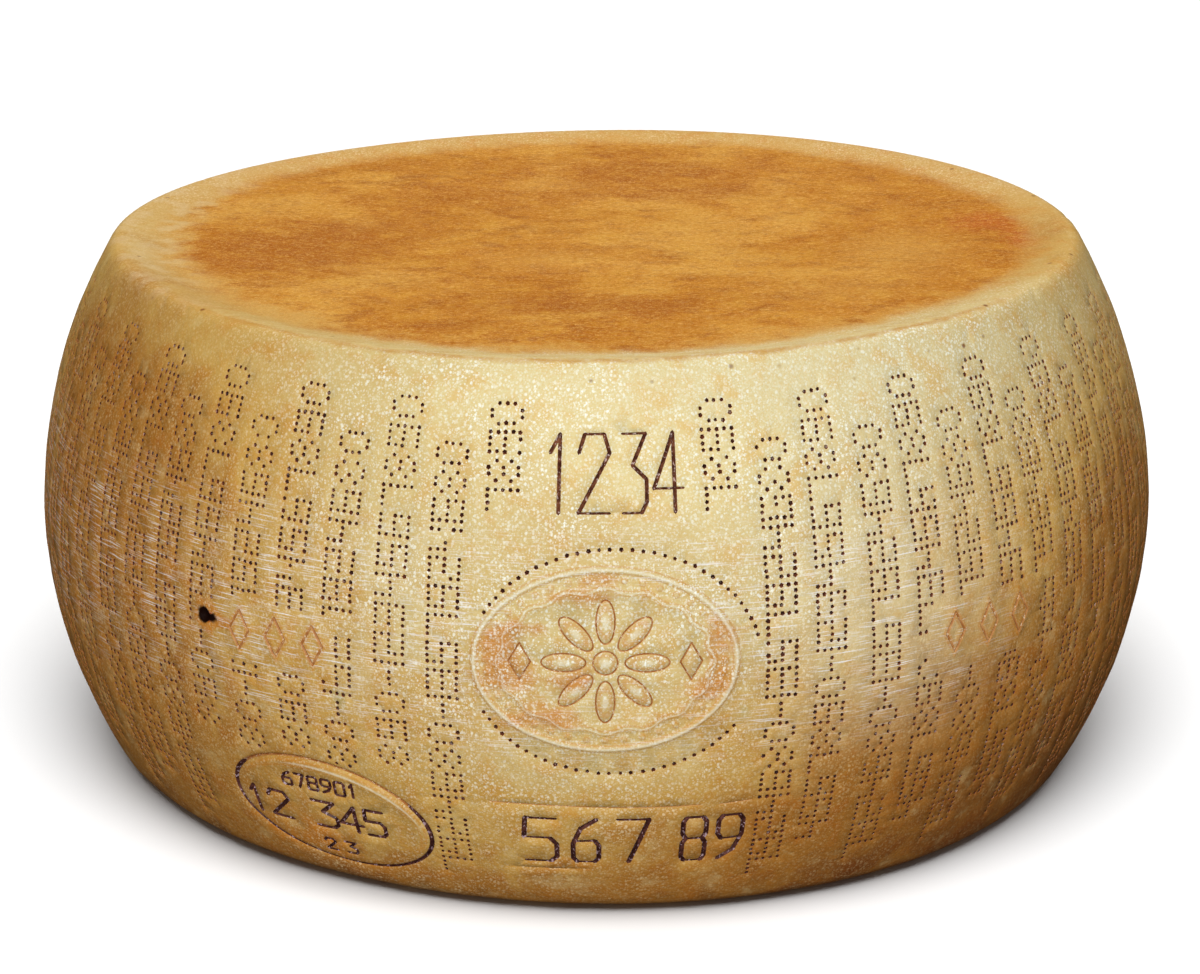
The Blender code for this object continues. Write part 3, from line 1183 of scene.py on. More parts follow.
# Patches on the side, by the map that holds them, with the fields of Patch.
SIDE_PATCHES: dict[str, tuple[tuple[float, ...], ...]] = {
    # Paler patches at the front and front shoulders are painted sheen, darker ones at the sides and lower
    # right are painted shade, and those at the back carry the paler tone round.
    "tone_and_painted_light": (
        (-7.0, 0.160, 0.122, 0.110, 0.70), (30.0, 0.215, 0.180, 0.055, 0.75),
        (11.0, 0.165, 0.050, 0.050, 0.25),
        (1.0, 0.166, 0.044, 0.018, -0.32), (0.7, 0.1225, 0.040, 0.028, 0.16),
        (2.0, 0.078, 0.070, 0.016, 0.22),
        (-8.0, 0.034, 0.100, 0.030, 0.12), (48.0, 0.040, 0.150, 0.050, -0.40),
        (68.0, 0.130, 0.050, 0.090, -0.16),
        (47.0, 0.125, 0.050, 0.060, 0.10), (-46.0, 0.185, 0.060, 0.050, -0.12),
        (84.0, 0.240, 0.100, 0.012, -0.30),
        (-66.0, 0.190, 0.060, 0.060, -0.12), (128.0, 0.170, 0.160, 0.070, 0.9),
        (-122.0, 0.175, 0.150, 0.060, 0.8),
        (-178.0, 0.185, 0.120, 0.050, 0.6),
    ),
    "chalk": (
        (26.0, 0.145, 0.060, 0.060, 0.80), (38.0, 0.215, 0.090, 0.035, 0.35),
        (-18.0, 0.150, 0.022, 0.030, 0.40),
        (-22.0, 0.110, 0.030, 0.020, 0.20), (8.0, 0.225, 0.120, 0.020, 0.40),
        # The left patch near the crest paints the highlight where the rim turns.
        (-78.0, 0.242, 0.060, 0.008, 0.40),
        (150.0, 0.150, 0.150, 0.060, 0.45),
    ),
    "calm": ((0.7, 0.1225, 0.0400, 0.0290, 1.6),),
    "brown": (
        (-9.4, 0.1225, 0.0080, 0.0170, 0.55), (10.9, 0.1200, 0.0080, 0.0150, 0.60),
        (-6.0, 0.1010, 0.0120, 0.0060, 0.80), (-1.5, 0.1462, 0.0220, 0.0030, 0.70),
        (5.0, 0.1010, 0.0140, 0.0040, 0.45), (-2.0, 0.1150, 0.0140, 0.0050, 0.40),
        (-8.7, 0.1292, 0.0085, 0.0085, 0.6), (-7.7, 0.1156, 0.0090, 0.0070, 0.6),
        (-5.9, 0.1342, 0.0080, 0.0040, 0.8), (0.4, 0.1534, 0.0110, 0.0040, 0.8),
        (10.9, 0.1322, 0.0070, 0.0080, 0.6), (9.6, 0.1110, 0.0070, 0.0060, 0.7),
        (-2.3, 0.1163, 0.0070, 0.0050, 0.8), (-2.6, 0.1004, 0.0080, 0.0050, 0.8),
        (-37.9, 0.1203, 0.0080, 0.0026, 1.7), (-39.4, 0.1200, 0.0050, 0.0060, 1.3),
        (-30.0, 0.0320, 0.0300, 0.0160, 0.7), (96.0, 0.0900, 0.0200, 0.0120),
        (171.0, 0.1300, 0.0160, 0.0200), (-101.0, 0.0600, 0.0300, 0.0140), (-146.0, 0.1100, 0.0120, 0.0180),
    ),
    "moss": (
        (13.4, 0.1010, 0.0060, 0.0060, 0.9), (14.8, 0.1255, 0.0050, 0.0050, 0.8),
        (9.7, 0.1531, 0.0050, 0.0030, 0.8), (-24.2, 0.0998, 0.0060, 0.0060),
        (112.0, 0.1400, 0.0070, 0.0070), (-151.0, 0.0800, 0.0090, 0.0060),
    ),
    "black": ((-39.6, 0.1206, 0.0029, 0.0034, 1.25), (-38.7, 0.1203, 0.0028, 0.0010, 0.6)),
}

# Patches on the top, by the map that holds them, with the fields of FacePatch.
TOP_PATCHES: dict[str, tuple[tuple[float, ...], ...]] = {
    "burnt": (
        (-0.004, -0.1080, 0.052, 0.020), (0.018, 0.1290, 0.060, 0.030, 0.7),
        (0.0435, 0.0810, 0.050, 0.024, 0.6), (-0.052, 0.0790, 0.045, 0.026, 0.6),
        (-0.053, -0.1450, 0.050, 0.014, 0.6), (-0.132, -0.0280, 0.044, 0.056, 0.85),
        (-0.093, 0.0100, 0.026, 0.046, 0.5), (-0.055, -0.0700, 0.030, 0.026, 0.4),
    ),
    "rust": ((0.164, 0.028, 0.013, 0.016), (0.174, -0.010, 0.010, 0.024), (0.150, 0.015, 0.022, 0.022, 0.5)),
    "pale": (
        (0.0, 0.0256, 0.040, 0.022, 0.35), (-0.128, 0.0594, 0.034, 0.030, 0.35),
        (-0.016, -0.0335, 0.040, 0.024, 0.6), (0.122, -0.0232, 0.030, 0.040, 0.7),
        (0.090, -0.0900, 0.045, 0.035, 0.5),
    ),
}


class Sheet:
    """Places and lines on a flat sheet, which is cut into triangles along the lines."""

    def __init__(self) -> None:
        """Starts an empty sheet."""
        self.places: Path = []
        self.lines: list[tuple[int, int]] = []
        self.sunk: dict[int, float] = {}

    def add_line(self, path: Path, is_closed: bool) -> None:
        """Adds a line that the triangles follow.

        Args:
            path: Its places.
            is_closed: Whether it returns to its start.
        """
        first = len(self.places)
        self.places.extend(path)
        count = len(path)
        last = count if is_closed else count - 1
        self.lines.extend((first + spot, first + (spot + 1) % count) for spot in range(last))

    def add_pin(self, pin: Pin, draw: random.Random) -> None:
        """Adds the ring and the tip of a pin hole.

        Args:
            pin: The hole.
            draw: Source of its unevenness.
        """
        u, v = pin.place
        start = draw.uniform(0, 2 * math.pi)
        rim = []
        for corner in range(PIN_CORNERS):
            turn = start + 2 * math.pi * corner / PIN_CORNERS
            radius = pin.radius * draw.uniform(0.9, 1.1)
            rim.append((u + radius * math.cos(turn) / pin.drag, v + radius * math.sin(turn) * pin.drag))
        self.add_line(rim, True)
        self.sunk[len(self.places)] = pin.depth
        self.places.append((u, v))

    def clear_of(self, places: Path, distance: float) -> Path:
        """Leaves out places that lie close to those on the sheet.

        Args:
            places: Places to sift.
            distance: How close is too close.

        Returns:
            The places that stay.
        """
        tree = KDTree(len(self.places))
        for index, (u, v) in enumerate(self.places):
            tree.insert((u, v, 0.0), index)
        tree.balance()
        return [(u, v) for u, v in places if (tree.find((u, v, 0.0))[2] or 0.0) > distance]

    def cut(self) -> tuple[Values, Values, list[list[int]]]:
        """Cuts the sheet into triangles.

        Returns:
            The corners, the triangles and the places that each corner came from.
        """
        flat = [Vector(place) for place in self.places]
        result = delaunay_2d_cdt(flat, self.lines, [], 0, SAME_PLACE)
        return np.array(result[0]), np.array(result[2]), result[3]


def hex_grid(low: Place, high: Place, pitch: float, wander: float, draw: random.Random) -> Path:
    """Places on a grid of even triangles, each moved a little.

    Args:
        low: Lower left corner of the grid.
        high: Upper right corner.
        pitch: Distance between places.
        wander: How far a place may move, as a share of the pitch.
        draw: Source of the moves.

    Returns:
        The places.
    """
    found = []
    row_pitch = pitch * math.sqrt(3) / 2
    rows = int((high[1] - low[1]) / row_pitch)
    columns = int((high[0] - low[0]) / pitch)
    for row in range(rows + 1):
        for column in range(columns + 1):
            u = low[0] + (column + 0.5 * (row % 2)) * pitch + draw.uniform(-wander, wander) * pitch
            v = low[1] + row * row_pitch + draw.uniform(-wander, wander) * pitch
            found.append((u, v))
    return found


@dataclass
class Skin:
    """The wheel's surface while it is put together."""

    points: Values
    faces: Values
    dress: Values
    maps: dict[str, Values]


@dataclass(frozen=True)
class WheelSurface:
    """Builds the wheel's whole surface as one closed mesh."""

    shape: WheelShape = SHAPE
    columns: PinColumns = PinColumns()
    cartouche: Cartouche = Cartouche()
    low_oval: LowOval = LowOval()
    lozenges: Lozenges = Lozenges()
    seam_angle: float = -181.27
    border_count: int = 252
    grid_pitch: float = 0.0056
    grid_clear: float = 0.0026
    grid_wander: float = 0.16
    pin_clear: float = 0.0019
    dent_clear: float = 0.0008
    border_clear: float = 0.0006
    top_pitch: float = 0.0056
    base_pitch: float = 0.0130
    low_rows: tuple[float, ...] = (0.0, 0.0012, 0.0028, 0.0048, 0.0075, 0.0110)
    high_rows: tuple[float, ...] = (0.0065, 0.0040, 0.0026, 0.0016, 0.0007, 0.0)
    lip_rows: tuple[float, ...] = (0.0016, 0.0038)
    seam_row_pitch: float = 0.0052
    lump_size: float = 0.021
    lump_depth: float = 0.00028
    fine_lump_size: float = 0.0085
    fine_lump_depth: float = 0.00012
    face_lump_size: float = 0.024
    face_lump_depth: float = 0.00045
    fine_face_lump_size: float = 0.011
    fine_face_lump_depth: float = 0.00016
    face_lump_fade: float = 0.012
    full_pit: float = 0.0008
    full_ridge: float = 0.0009
    plate_half_width: float = 0.00024
    plate_depth: float = 0.00016
    dents: tuple[Dent, ...] = tuple(Dent(*row) for row in DENTS)
    number: Numeral = Numeral(
        "1234",
        Stamp(1.2, 0.1904),
        (-0.0235, -0.0115, 0.0040, 0.0150),
        (0.0085, 0.0110, 0.0085, 0.0105),
        0.0282,
        0.00072,
        0.0009,
        Dress.NUMBER,
    )
    low_number: Numeral = Numeral(
        "56789",
        Stamp(2.8, 0.0468),
        (-0.0375, -0.0195, -0.0035, 0.0205, 0.0335),
        (0.0120, 0.0095, 0.0115, 0.0085, 0.0090),
        0.0215,
        0.00095,
        0.0011,
        Dress.DEEP_LINE,
        0.50,
    )

    def plate_lines(self) -> list[Groove]:
        """Faint edges of the plates that pressed the lower number in.

        Returns:
            The edges as cut lines.
        """
        upper = [(-0.0480, 0.0004), (-0.0210, 0.0), (0.0080, -0.0006), (0.0290, -0.0003)]
        lines = (
            (Stamp(2.2, 0.0637), upper, Dress.PALE_LINE),
            (Stamp(11.5, 0.0630), [(0.0, 0.0), (0.0120, 0.0008)], Dress.PALE_LINE),
            (Stamp(-2.4, 0.0318), [(-0.0250, 0.0), (0.0060, 0.0003)], Dress.RIND),
        )
        cut = (self.plate_half_width, self.plate_depth)
        return [Groove(stamp, path, *cut, dress) for stamp, path, dress in lines]

    def grooves(self) -> list[Groove]:
        """Every line cut into the side but the low oval's.

        Returns:
            The lines.
        """
        found = []
        for numeral in (self.number, self.low_number, *self.low_oval.numerals()):
            found.extend(numeral.grooves())
        return found + self.lozenges.grooves() + self.cartouche.diamonds() + self.plate_lines()

    def lay_out_side(self, draw: random.Random) -> Sheet:
        """Lays the unrolled side out.

        Args:
            draw: Source of its small differences.

        Returns:
            The sheet.
        """
        sheet = Sheet()
        for loop in self.cartouche.loops() + self.low_oval.loops() + self.lozenges.loops():
            sheet.add_line(loop, True)
        for groove in self.grooves():
            for outline in groove.outlines():
                sheet.add_line(outline, True)
            sheet.add_line(groove.middle_line(), False)
        kept = self.apart(self.cartouche.pin_ring(draw) + self.columns.pins(draw))
        for pin in kept:
            sheet.add_pin(pin, draw)
        log.info("pins pricked: %d", len(kept))
        left, total = self.shape.u_at(self.seam_angle), self.shape.side_length()
        for dent in self.dents:
            cluster = [place for place in dent.cluster() if place[1] < total - self.dent_clear / 2]
            sheet.places.extend(sheet.clear_of(cluster, self.dent_clear))
        self.add_borders(sheet)
        right, top = left + self.shape.side_width(), total - self.high_rows[0]
        low = (left + self.grid_pitch / 2, self.low_rows[-1] + self.grid_pitch / 2)
        high = (right - self.grid_pitch, top - self.grid_pitch / 2)
        grid = hex_grid(low, high, self.grid_pitch, self.grid_wander, draw)
        sheet.places.extend(sheet.clear_of(grid, self.grid_clear))
        return sheet

    def apart(self, pins: list[Pin]) -> list[Pin]:
        """Leaves out pins that would run into an earlier one.

        Args:
            pins: The pins.

        Returns:
            The pins that stay.
        """
        cell = 0.002
        kept: list[Pin] = []
        cells: dict[tuple[int, int], list[Place]] = {}
        for pin in pins:
            column, row = int(pin.place[0] // cell), int(pin.place[1] // cell)
            near = [(column + across, row + up) for across in (-1, 0, 1) for up in (-1, 0, 1)]
            around = [place for spot in near for place in cells.get(spot, [])]
            if all(math.dist(place, pin.place) > self.pin_clear for place in around):
                kept.append(pin)
                cells.setdefault((column, row), []).append(pin.place)
        return kept

    def add_borders(self, sheet: Sheet) -> None:
        """Adds the rows along the base corner, the crest and the seam.

        Args:
            sheet: The sheet that gets them.
        """
        left = self.shape.u_at(self.seam_angle)
        width, total = self.shape.side_width(), self.shape.side_length()
        rows = list(self.low_rows) + [total - row for row in self.high_rows]
        first, last = rows[len(self.low_rows) - 1], rows[len(self.low_rows)]
        count = round((last - first) / self.seam_row_pitch)
        seam_rows = rows + [first + (last - first) * step / count for step in range(1, count)]
        for row in seam_rows:
            sheet.places.extend([(left, row), (left + width, row)])
        edges, inner = [], []
        for index, row in enumerate(rows):
            is_edge = row in (0.0, total)
            shift = 0.5 if index % 2 and not is_edge else 0.0
            shares = [(column + shift) / self.border_count for column in range(self.border_count)]
            found = [(left + share * width, row) for share in shares if 0.001 < share < 0.999]
            (edges if is_edge else inner).extend(found)
        sheet.places.extend(edges)
        sheet.places.extend(sheet.clear_of(inner, self.border_clear))

    def relief(self, u: Values, v: Values) -> Values:
        """Height of all the stamped relief over the side.

        Args:
            u: Places round the side.
            v: Lengths along the side.

        Returns:
            The heights.
        """
        return self.cartouche.raised(u, v) + self.low_oval.raised(u, v) + self.lozenges.raised(u, v)

    def dress_faces(self, u: Values, v: Values, has_tip: Values) -> Values:
        """Material slot of every triangle of the side.

        Args:
            u: Places round the side of the triangles' middles.
            v: Lengths along the side of their middles.
            has_tip: True for each triangle that reaches the tip of a pin hole.

        Returns:
            The slots.
        """
        dress = np.full(len(u), Dress.RIND.value)
        on_line = self.low_oval.line_depths(u, v) > 0
        is_faint = self.low_oval.is_faint(u, v)
        dress[on_line] = np.where(is_faint[on_line], Dress.PALE_LINE.value, Dress.DEEP_LINE.value)
        for groove in self.grooves() + self.cartouche.lines():
            if groove.dress != Dress.RIND:
                dress[groove.depths(u, v) > 0] = groove.dress.value
        dress[has_tip] = Dress.PIN.value
        return dress

    def build_side(self, draw: random.Random) -> tuple[Skin, dict[str, Values]]:
        """Builds the side with its marks.

        Args:
            draw: Source of its small differences.

        Returns:
            The side, and its corners round the base and round the crest.
        """
        sheet = self.lay_out_side(draw)
        corners, faces, origins = sheet.cut()
        u, v = corners[:, 0], corners[:, 1]
        total = self.shape.side_length()
        sunk = np.array([sum(sheet.sunk.get(place, 0.0) for place in origin) for origin in origins])
        dress = self.dress_faces(u[faces].mean(axis=1), v[faces].mean(axis=1), (sunk > 0)[faces].any(axis=1))
        cut = self.low_oval.line_depths(u, v)
        for groove in self.grooves() + self.cartouche.lines():
            cut = np.maximum(cut, groove.depths(u, v))
        relief = self.relief(u, v)
        plain = self.shape.side_points(u, v, np.zeros(len(u)))
        small = lumps(plain, self.lump_size, 5.0) * self.lump_depth
        small += lumps(plain, self.fine_lump_size, 9.0) * self.fine_lump_depth
        dents = sum(dent.depths(u, v) for dent in self.dents)
        points = self.shape.side_points(u, v, self.shape.fade(v) * (relief + small) - dents - cut - sunk)
        maps = {
            "crest": v - total,
            "pit": np.clip(np.maximum(sunk, cut) / self.full_pit, 0.0, 1.0),
            "ridge": np.clip(relief / self.full_ridge, -1.0, 1.0),
            "u": u,
            "v": v,
        }
        keep, back = np.unique(self.join_seam(u, v), return_inverse=True)
        skin = Skin(points[keep], back[faces], dress, {name: values[keep] for name, values in maps.items()})
        ends = {}
        for name, level in (("base", 0.0), ("crest", total)):
            at_level = np.nonzero(np.abs(skin.maps["v"] - level) < SAME_PLACE * 5)[0]
            ends[name] = at_level[np.argsort(skin.maps["u"][at_level])]
        return skin, ends

    def join_seam(self, u: Values, v: Values) -> Values:
        """For each corner of the sheet the corner that stands for it once the side is rolled up.

        Args:
            u: Places round the side.
            v: Lengths along the side.

        Returns:
            The standing corners' numbers.
        """
        left = self.shape.u_at(self.seam_angle)
        right = left + self.shape.side_width()
        stands = np.arange(len(u))
        near = SAME_PLACE * 10
        at_left = {round(v[index], 6): index for index in np.nonzero(np.abs(u - left) < near)[0]}
        for index in np.nonzero(np.abs(u - right) < near)[0]:
            stands[index] = at_left[round(v[index], 6)]
        return stands

    def disc(self, skin: Skin, rim: Values, pitch: float, is_top: bool, draw: random.Random) -> None:
        """Closes a border with a disc.

        Args:
            skin: The surface that gets the disc.
            rim: The border's corners in order.
            pitch: Distance between the disc's places.
            is_top: Whether it is the top or the base.
            draw: Source of its small differences.
        """
        radius = self.shape.top_radius
        turns = skin.maps["u"][rim] / self.shape.belly_radius
        sheet = Sheet()
        sheet.places.extend((radius * math.sin(turn), -radius * math.cos(turn)) for turn in turns)
        for inner in [radius - row for row in self.lip_rows] if is_top else []:
            steps = [2 * math.pi * (step + 0.25) / self.border_count for step in range(self.border_count)]
            sheet.places.extend((inner * math.sin(turn), -inner * math.cos(turn)) for turn in steps)
        grid = hex_grid((-radius, -radius), (radius, radius), pitch, self.grid_wander, draw)
        inside = [place for place in grid if math.hypot(*place) < radius - pitch * 0.5]
        sheet.places.extend(sheet.clear_of(inside, pitch * 0.5))
        corners, faces, origins = sheet.cut()
        u, v = corners[:, 0], corners[:, 1]
        turn, share = np.arctan2(u, -v), np.hypot(u, v) / radius
        if is_top:
            flat = np.column_stack((u, v, np.zeros(len(u))))
            raised = lumps(flat, self.face_lump_size, 2.0) * self.face_lump_depth
            raised += lumps(flat, self.fine_face_lump_size, 4.0) * self.fine_face_lump_depth
            raised *= soft_step((1 - share) * radius / self.face_lump_fade)
            points = self.shape.top_points(share, turn, raised)
            crest = (1 - share) * radius
        else:
            points = self.shape.base_points(share, turn)
            crest = -self.shape.side_length() - (1 - share) * radius
        first = len(skin.points)
        owner = np.zeros(len(u), dtype=int)
        fresh = []
        for index, origin in enumerate(origins):
            if origin and min(origin) < len(rim):
                owner[index] = rim[min(origin)]
            else:
                owner[index] = first + len(fresh)
                fresh.append(index)
        skin.points = np.vstack((skin.points, points[fresh]))
        faces = owner[faces]
        skin.faces = np.vstack((skin.faces, faces if is_top else faces[:, ::-1]))
        skin.dress = np.concatenate((skin.dress, np.zeros(len(faces), dtype=int)))
        added = {"crest": crest[fresh], "u": turn[fresh] * self.shape.belly_radius}
        for name, values in skin.maps.items():
            skin.maps[name] = np.concatenate((values, added.get(name, np.zeros(len(fresh)))))

    def build(self) -> Skin:
        """Builds the whole surface.

        Returns:
            The surface.
        """
        draw = random.Random(SEED)
        skin, ends = self.build_side(draw)
        self.disc(skin, ends["crest"], self.top_pitch, True, draw)
        self.disc(skin, ends["base"], self.base_pitch, False, draw)
        return skin


def shade(red: float, green: float, blue: float) -> Colour:
    """A colour as it looks on a screen, from 0 to 255, as the light it stands for.

    Args:
        red: Red on the screen.
        green: Green on the screen.
        blue: Blue on the screen.

    Returns:
        The colour for a shader.
    """
    parts = []
    for part in (red / 255, green / 255, blue / 255):
        parts.append(part / 12.92 if part <= 0.04045 else ((part + 0.055) / 1.055) ** 2.4)
    return (parts[0], parts[1], parts[2], 1.0)


class Finish:
    """A material's nodes, each joined up as it is added."""

    def __init__(self, name: str) -> None:
        """Starts a material.

        Args:
            name: Its name.
        """
        self.material = bpy.data.materials.new(name)
        self.material.use_nodes = True
        self.tree = self.material.node_tree
        self.shader = self.tree.nodes["Principled BSDF"]
        self.space = self.tree.nodes.new("ShaderNodeTexCoord").outputs["Object"]

    def set(self, socket: Socket, value: Value) -> None:
        """Joins a socket to another or gives it a value.

        Args:
            socket: The socket.
            value: What it gets.
        """
        if isinstance(value, Socket):
            self.tree.links.new(value, socket)
        else:
            socket.default_value = value

    def give(self, **values: Value) -> None:
        """Sets the shader's own sockets.

        Args:
            values: What each gets, by its name with _ for a space.
        """
        for name, value in values.items():
            self.set(self.shader.inputs[name.replace("_", " ")], value)

    def node(self, kind: str, inputs: dict[Union[int, str], Value], **settings: str) -> bpy.types.Node:
        """Adds a node.

        Args:
            kind: Its kind, without the words that every kind starts with.
            inputs: What its sockets get.
            settings: Its other settings.

        Returns:
            The node.
        """
        node = self.tree.nodes.new("ShaderNode" + kind)
        for name, setting in settings.items():
            setattr(node, name, setting)
        for name, value in inputs.items():
            self.set(node.inputs[name], value)
        return node

    def math(self, operation: str, first: Value, second: Value = 0.0) -> Socket:
        """Two values joined by one operation, such as MULTIPLY."""
        return self.node("Math", {0: first, 1: second}, operation=operation).outputs[0]

    def times(self, *values: Value) -> Socket:
        """Product of two or more values."""
        return reduce(lambda first, second: self.math("MULTIPLY", first, second), values)

    def plus(self, *values: Value) -> Socket:
        """Sum of two or more values."""
        return reduce(lambda first, second: self.math("ADD", first, second), values)

    def stir(self, value: Value, amount: float) -> Socket:
        """A value from 0 to 1 as a shift either way, by up to half of an amount."""
        return self.times(self.math("SUBTRACT", value, 0.5), amount)

    def ramp(self, value: Value, low: float, high: float, start: float = 0.0, end: float = 1.0) -> Socket:
        """A smooth rise or fall of a value.

        Args:
            value: What drives it.
            low: Value where it starts.
            high: Value where it ends.
            start: Result at the start.
            end: Result at the end.

        Returns:
            The result.
        """
        inputs = {"Value": value, "From Min": low, "From Max": high, "To Min": start, "To Max": end}
        return self.node("MapRange", inputs, interpolation_type="SMOOTHSTEP").outputs["Result"]

    def band(self, value: Value, start: float, full: float, still_full: float, end: float) -> Socket:
        """A smooth rise of a value followed by a smooth fall, each between two of its levels."""
        return self.times(self.ramp(value, start, full), self.ramp(value, end, still_full))

    def stretched(self, stretch: Triple, shift: float, space: Socket) -> Socket:
        """A space stretched along each axis and then shifted."""
        inputs = {"Vector": space, "Scale": stretch, "Location": (shift, shift, shift)}
        return self.node("Mapping", inputs).outputs["Vector"]

    def noise(
        self,
        scale: float,
        detail: float = 2.0,
        stretch: Triple = EVEN,
        shift: float = 0.0,
        roughness: float = 0.5,
        distortion: float = 0.0,
    ) -> Socket:
        """Soft noise in the wheel's own space.

        Args:
            scale: Lumps in a metre.
            detail: How many finer layers it has.
            stretch: Factor for each axis.
            shift: Moves the pattern.
            roughness: How strong the finer layers are.
            distortion: How much it is stirred.

        Returns:
            Its value, from 0 to 1.
        """
        inputs = {"Vector": self.stretched(stretch, shift, self.space), "Scale": scale, "Detail": detail}
        inputs.update({"Roughness": roughness, "Distortion": distortion})
        return self.node("TexNoise", inputs).outputs["Fac"]

    def spots(
        self,
        scale: float,
        low: float,
        high: float,
        stretch: Triple = EVEN,
        shift: float = 0.0,
        stir: float = 0.0,
        stir_scale: float = 70.0,
    ) -> Socket:
        """Scattered spots of unlike strength in the wheel's own space.

        Args:
            scale: Spots in a metre.
            low: Distance from a spot's middle where it is full, as a share of a cell.
            high: Distance where it ends.
            stretch: Factor for each axis.
            shift: Moves the pattern.
            stir: How far soft noise moves the spots, in metres.
            stir_scale: Lumps of that noise in a metre.

        Returns:
            Where they show.
        """
        space = self.space
        if stir:
            soft = self.node("TexNoise", {"Vector": space, "Scale": stir_scale}).outputs["Color"]
            inputs = {0: soft, 1: (stir, stir, stir), 2: space}
            space = self.node("VectorMath", inputs, operation="MULTIPLY_ADD").outputs["Vector"]
        cell = self.node("TexVoronoi", {"Vector": self.stretched(stretch, shift, space), "Scale": scale})
        chance = self.node("SeparateColor", {0: cell.outputs["Color"]}).outputs[0]
        spot = self.ramp(cell.outputs["Distance"], high, low)
        return self.times(spot, self.ramp(chance, 0.1, 0.8, 0.2, 1.0))

    def place(self, axis: str) -> Socket:
        """One coordinate of the wheel's own space, in metres."""
        return self.node("SeparateXYZ", {0: self.space}).outputs[axis]

    def map(self, name: str) -> Socket:
        """A value that the mesh carries at its corners."""
        return self.node("Attribute", {}, attribute_name=name).outputs["Fac"]

    def mix(self, base: Value, over: Value, *shares: Value, blend: str = "MIX") -> Socket:
        """One colour over another.

        Args:
            base: Colour below.
            over: Colour above.
            shares: How much of it shows is the product of these.
            blend: How they are mixed.

        Returns:
            The mixed colour.
        """
        node = self.node("Mix", {"Factor": self.times(*shares)}, data_type="RGBA", blend_type=blend)
        below, above = [socket for socket in node.inputs if socket.type == "RGBA"]
        self.set(below, base)
        self.set(above, over)
        return next(socket for socket in node.outputs if socket.type == "RGBA")

    def coats(self, colour: Value, *coats: tuple) -> Socket:
        """Lays colours over one another.

        Args:
            colour: Colour below.
            coats: For each coat its colour, what drives it, the driver's values where the coat starts
                and where it is full, and optionally how much of it shows at most.

        Returns:
            The mixed colour.
        """
        for over, driver, low, high, *most in coats:
            colour = self.mix(colour, over, self.ramp(driver, low, high, 0.0, *most))
        return colour

    def bump(self, height: Value, distance: float, strength: float) -> None:
        """Adds fine relief, with its height and how far it stands out in metres, to the shader."""
        node = self.node("Bump", {"Distance": distance, "Strength": strength, "Height": height})
        self.give(Normal=node.outputs["Normal"])


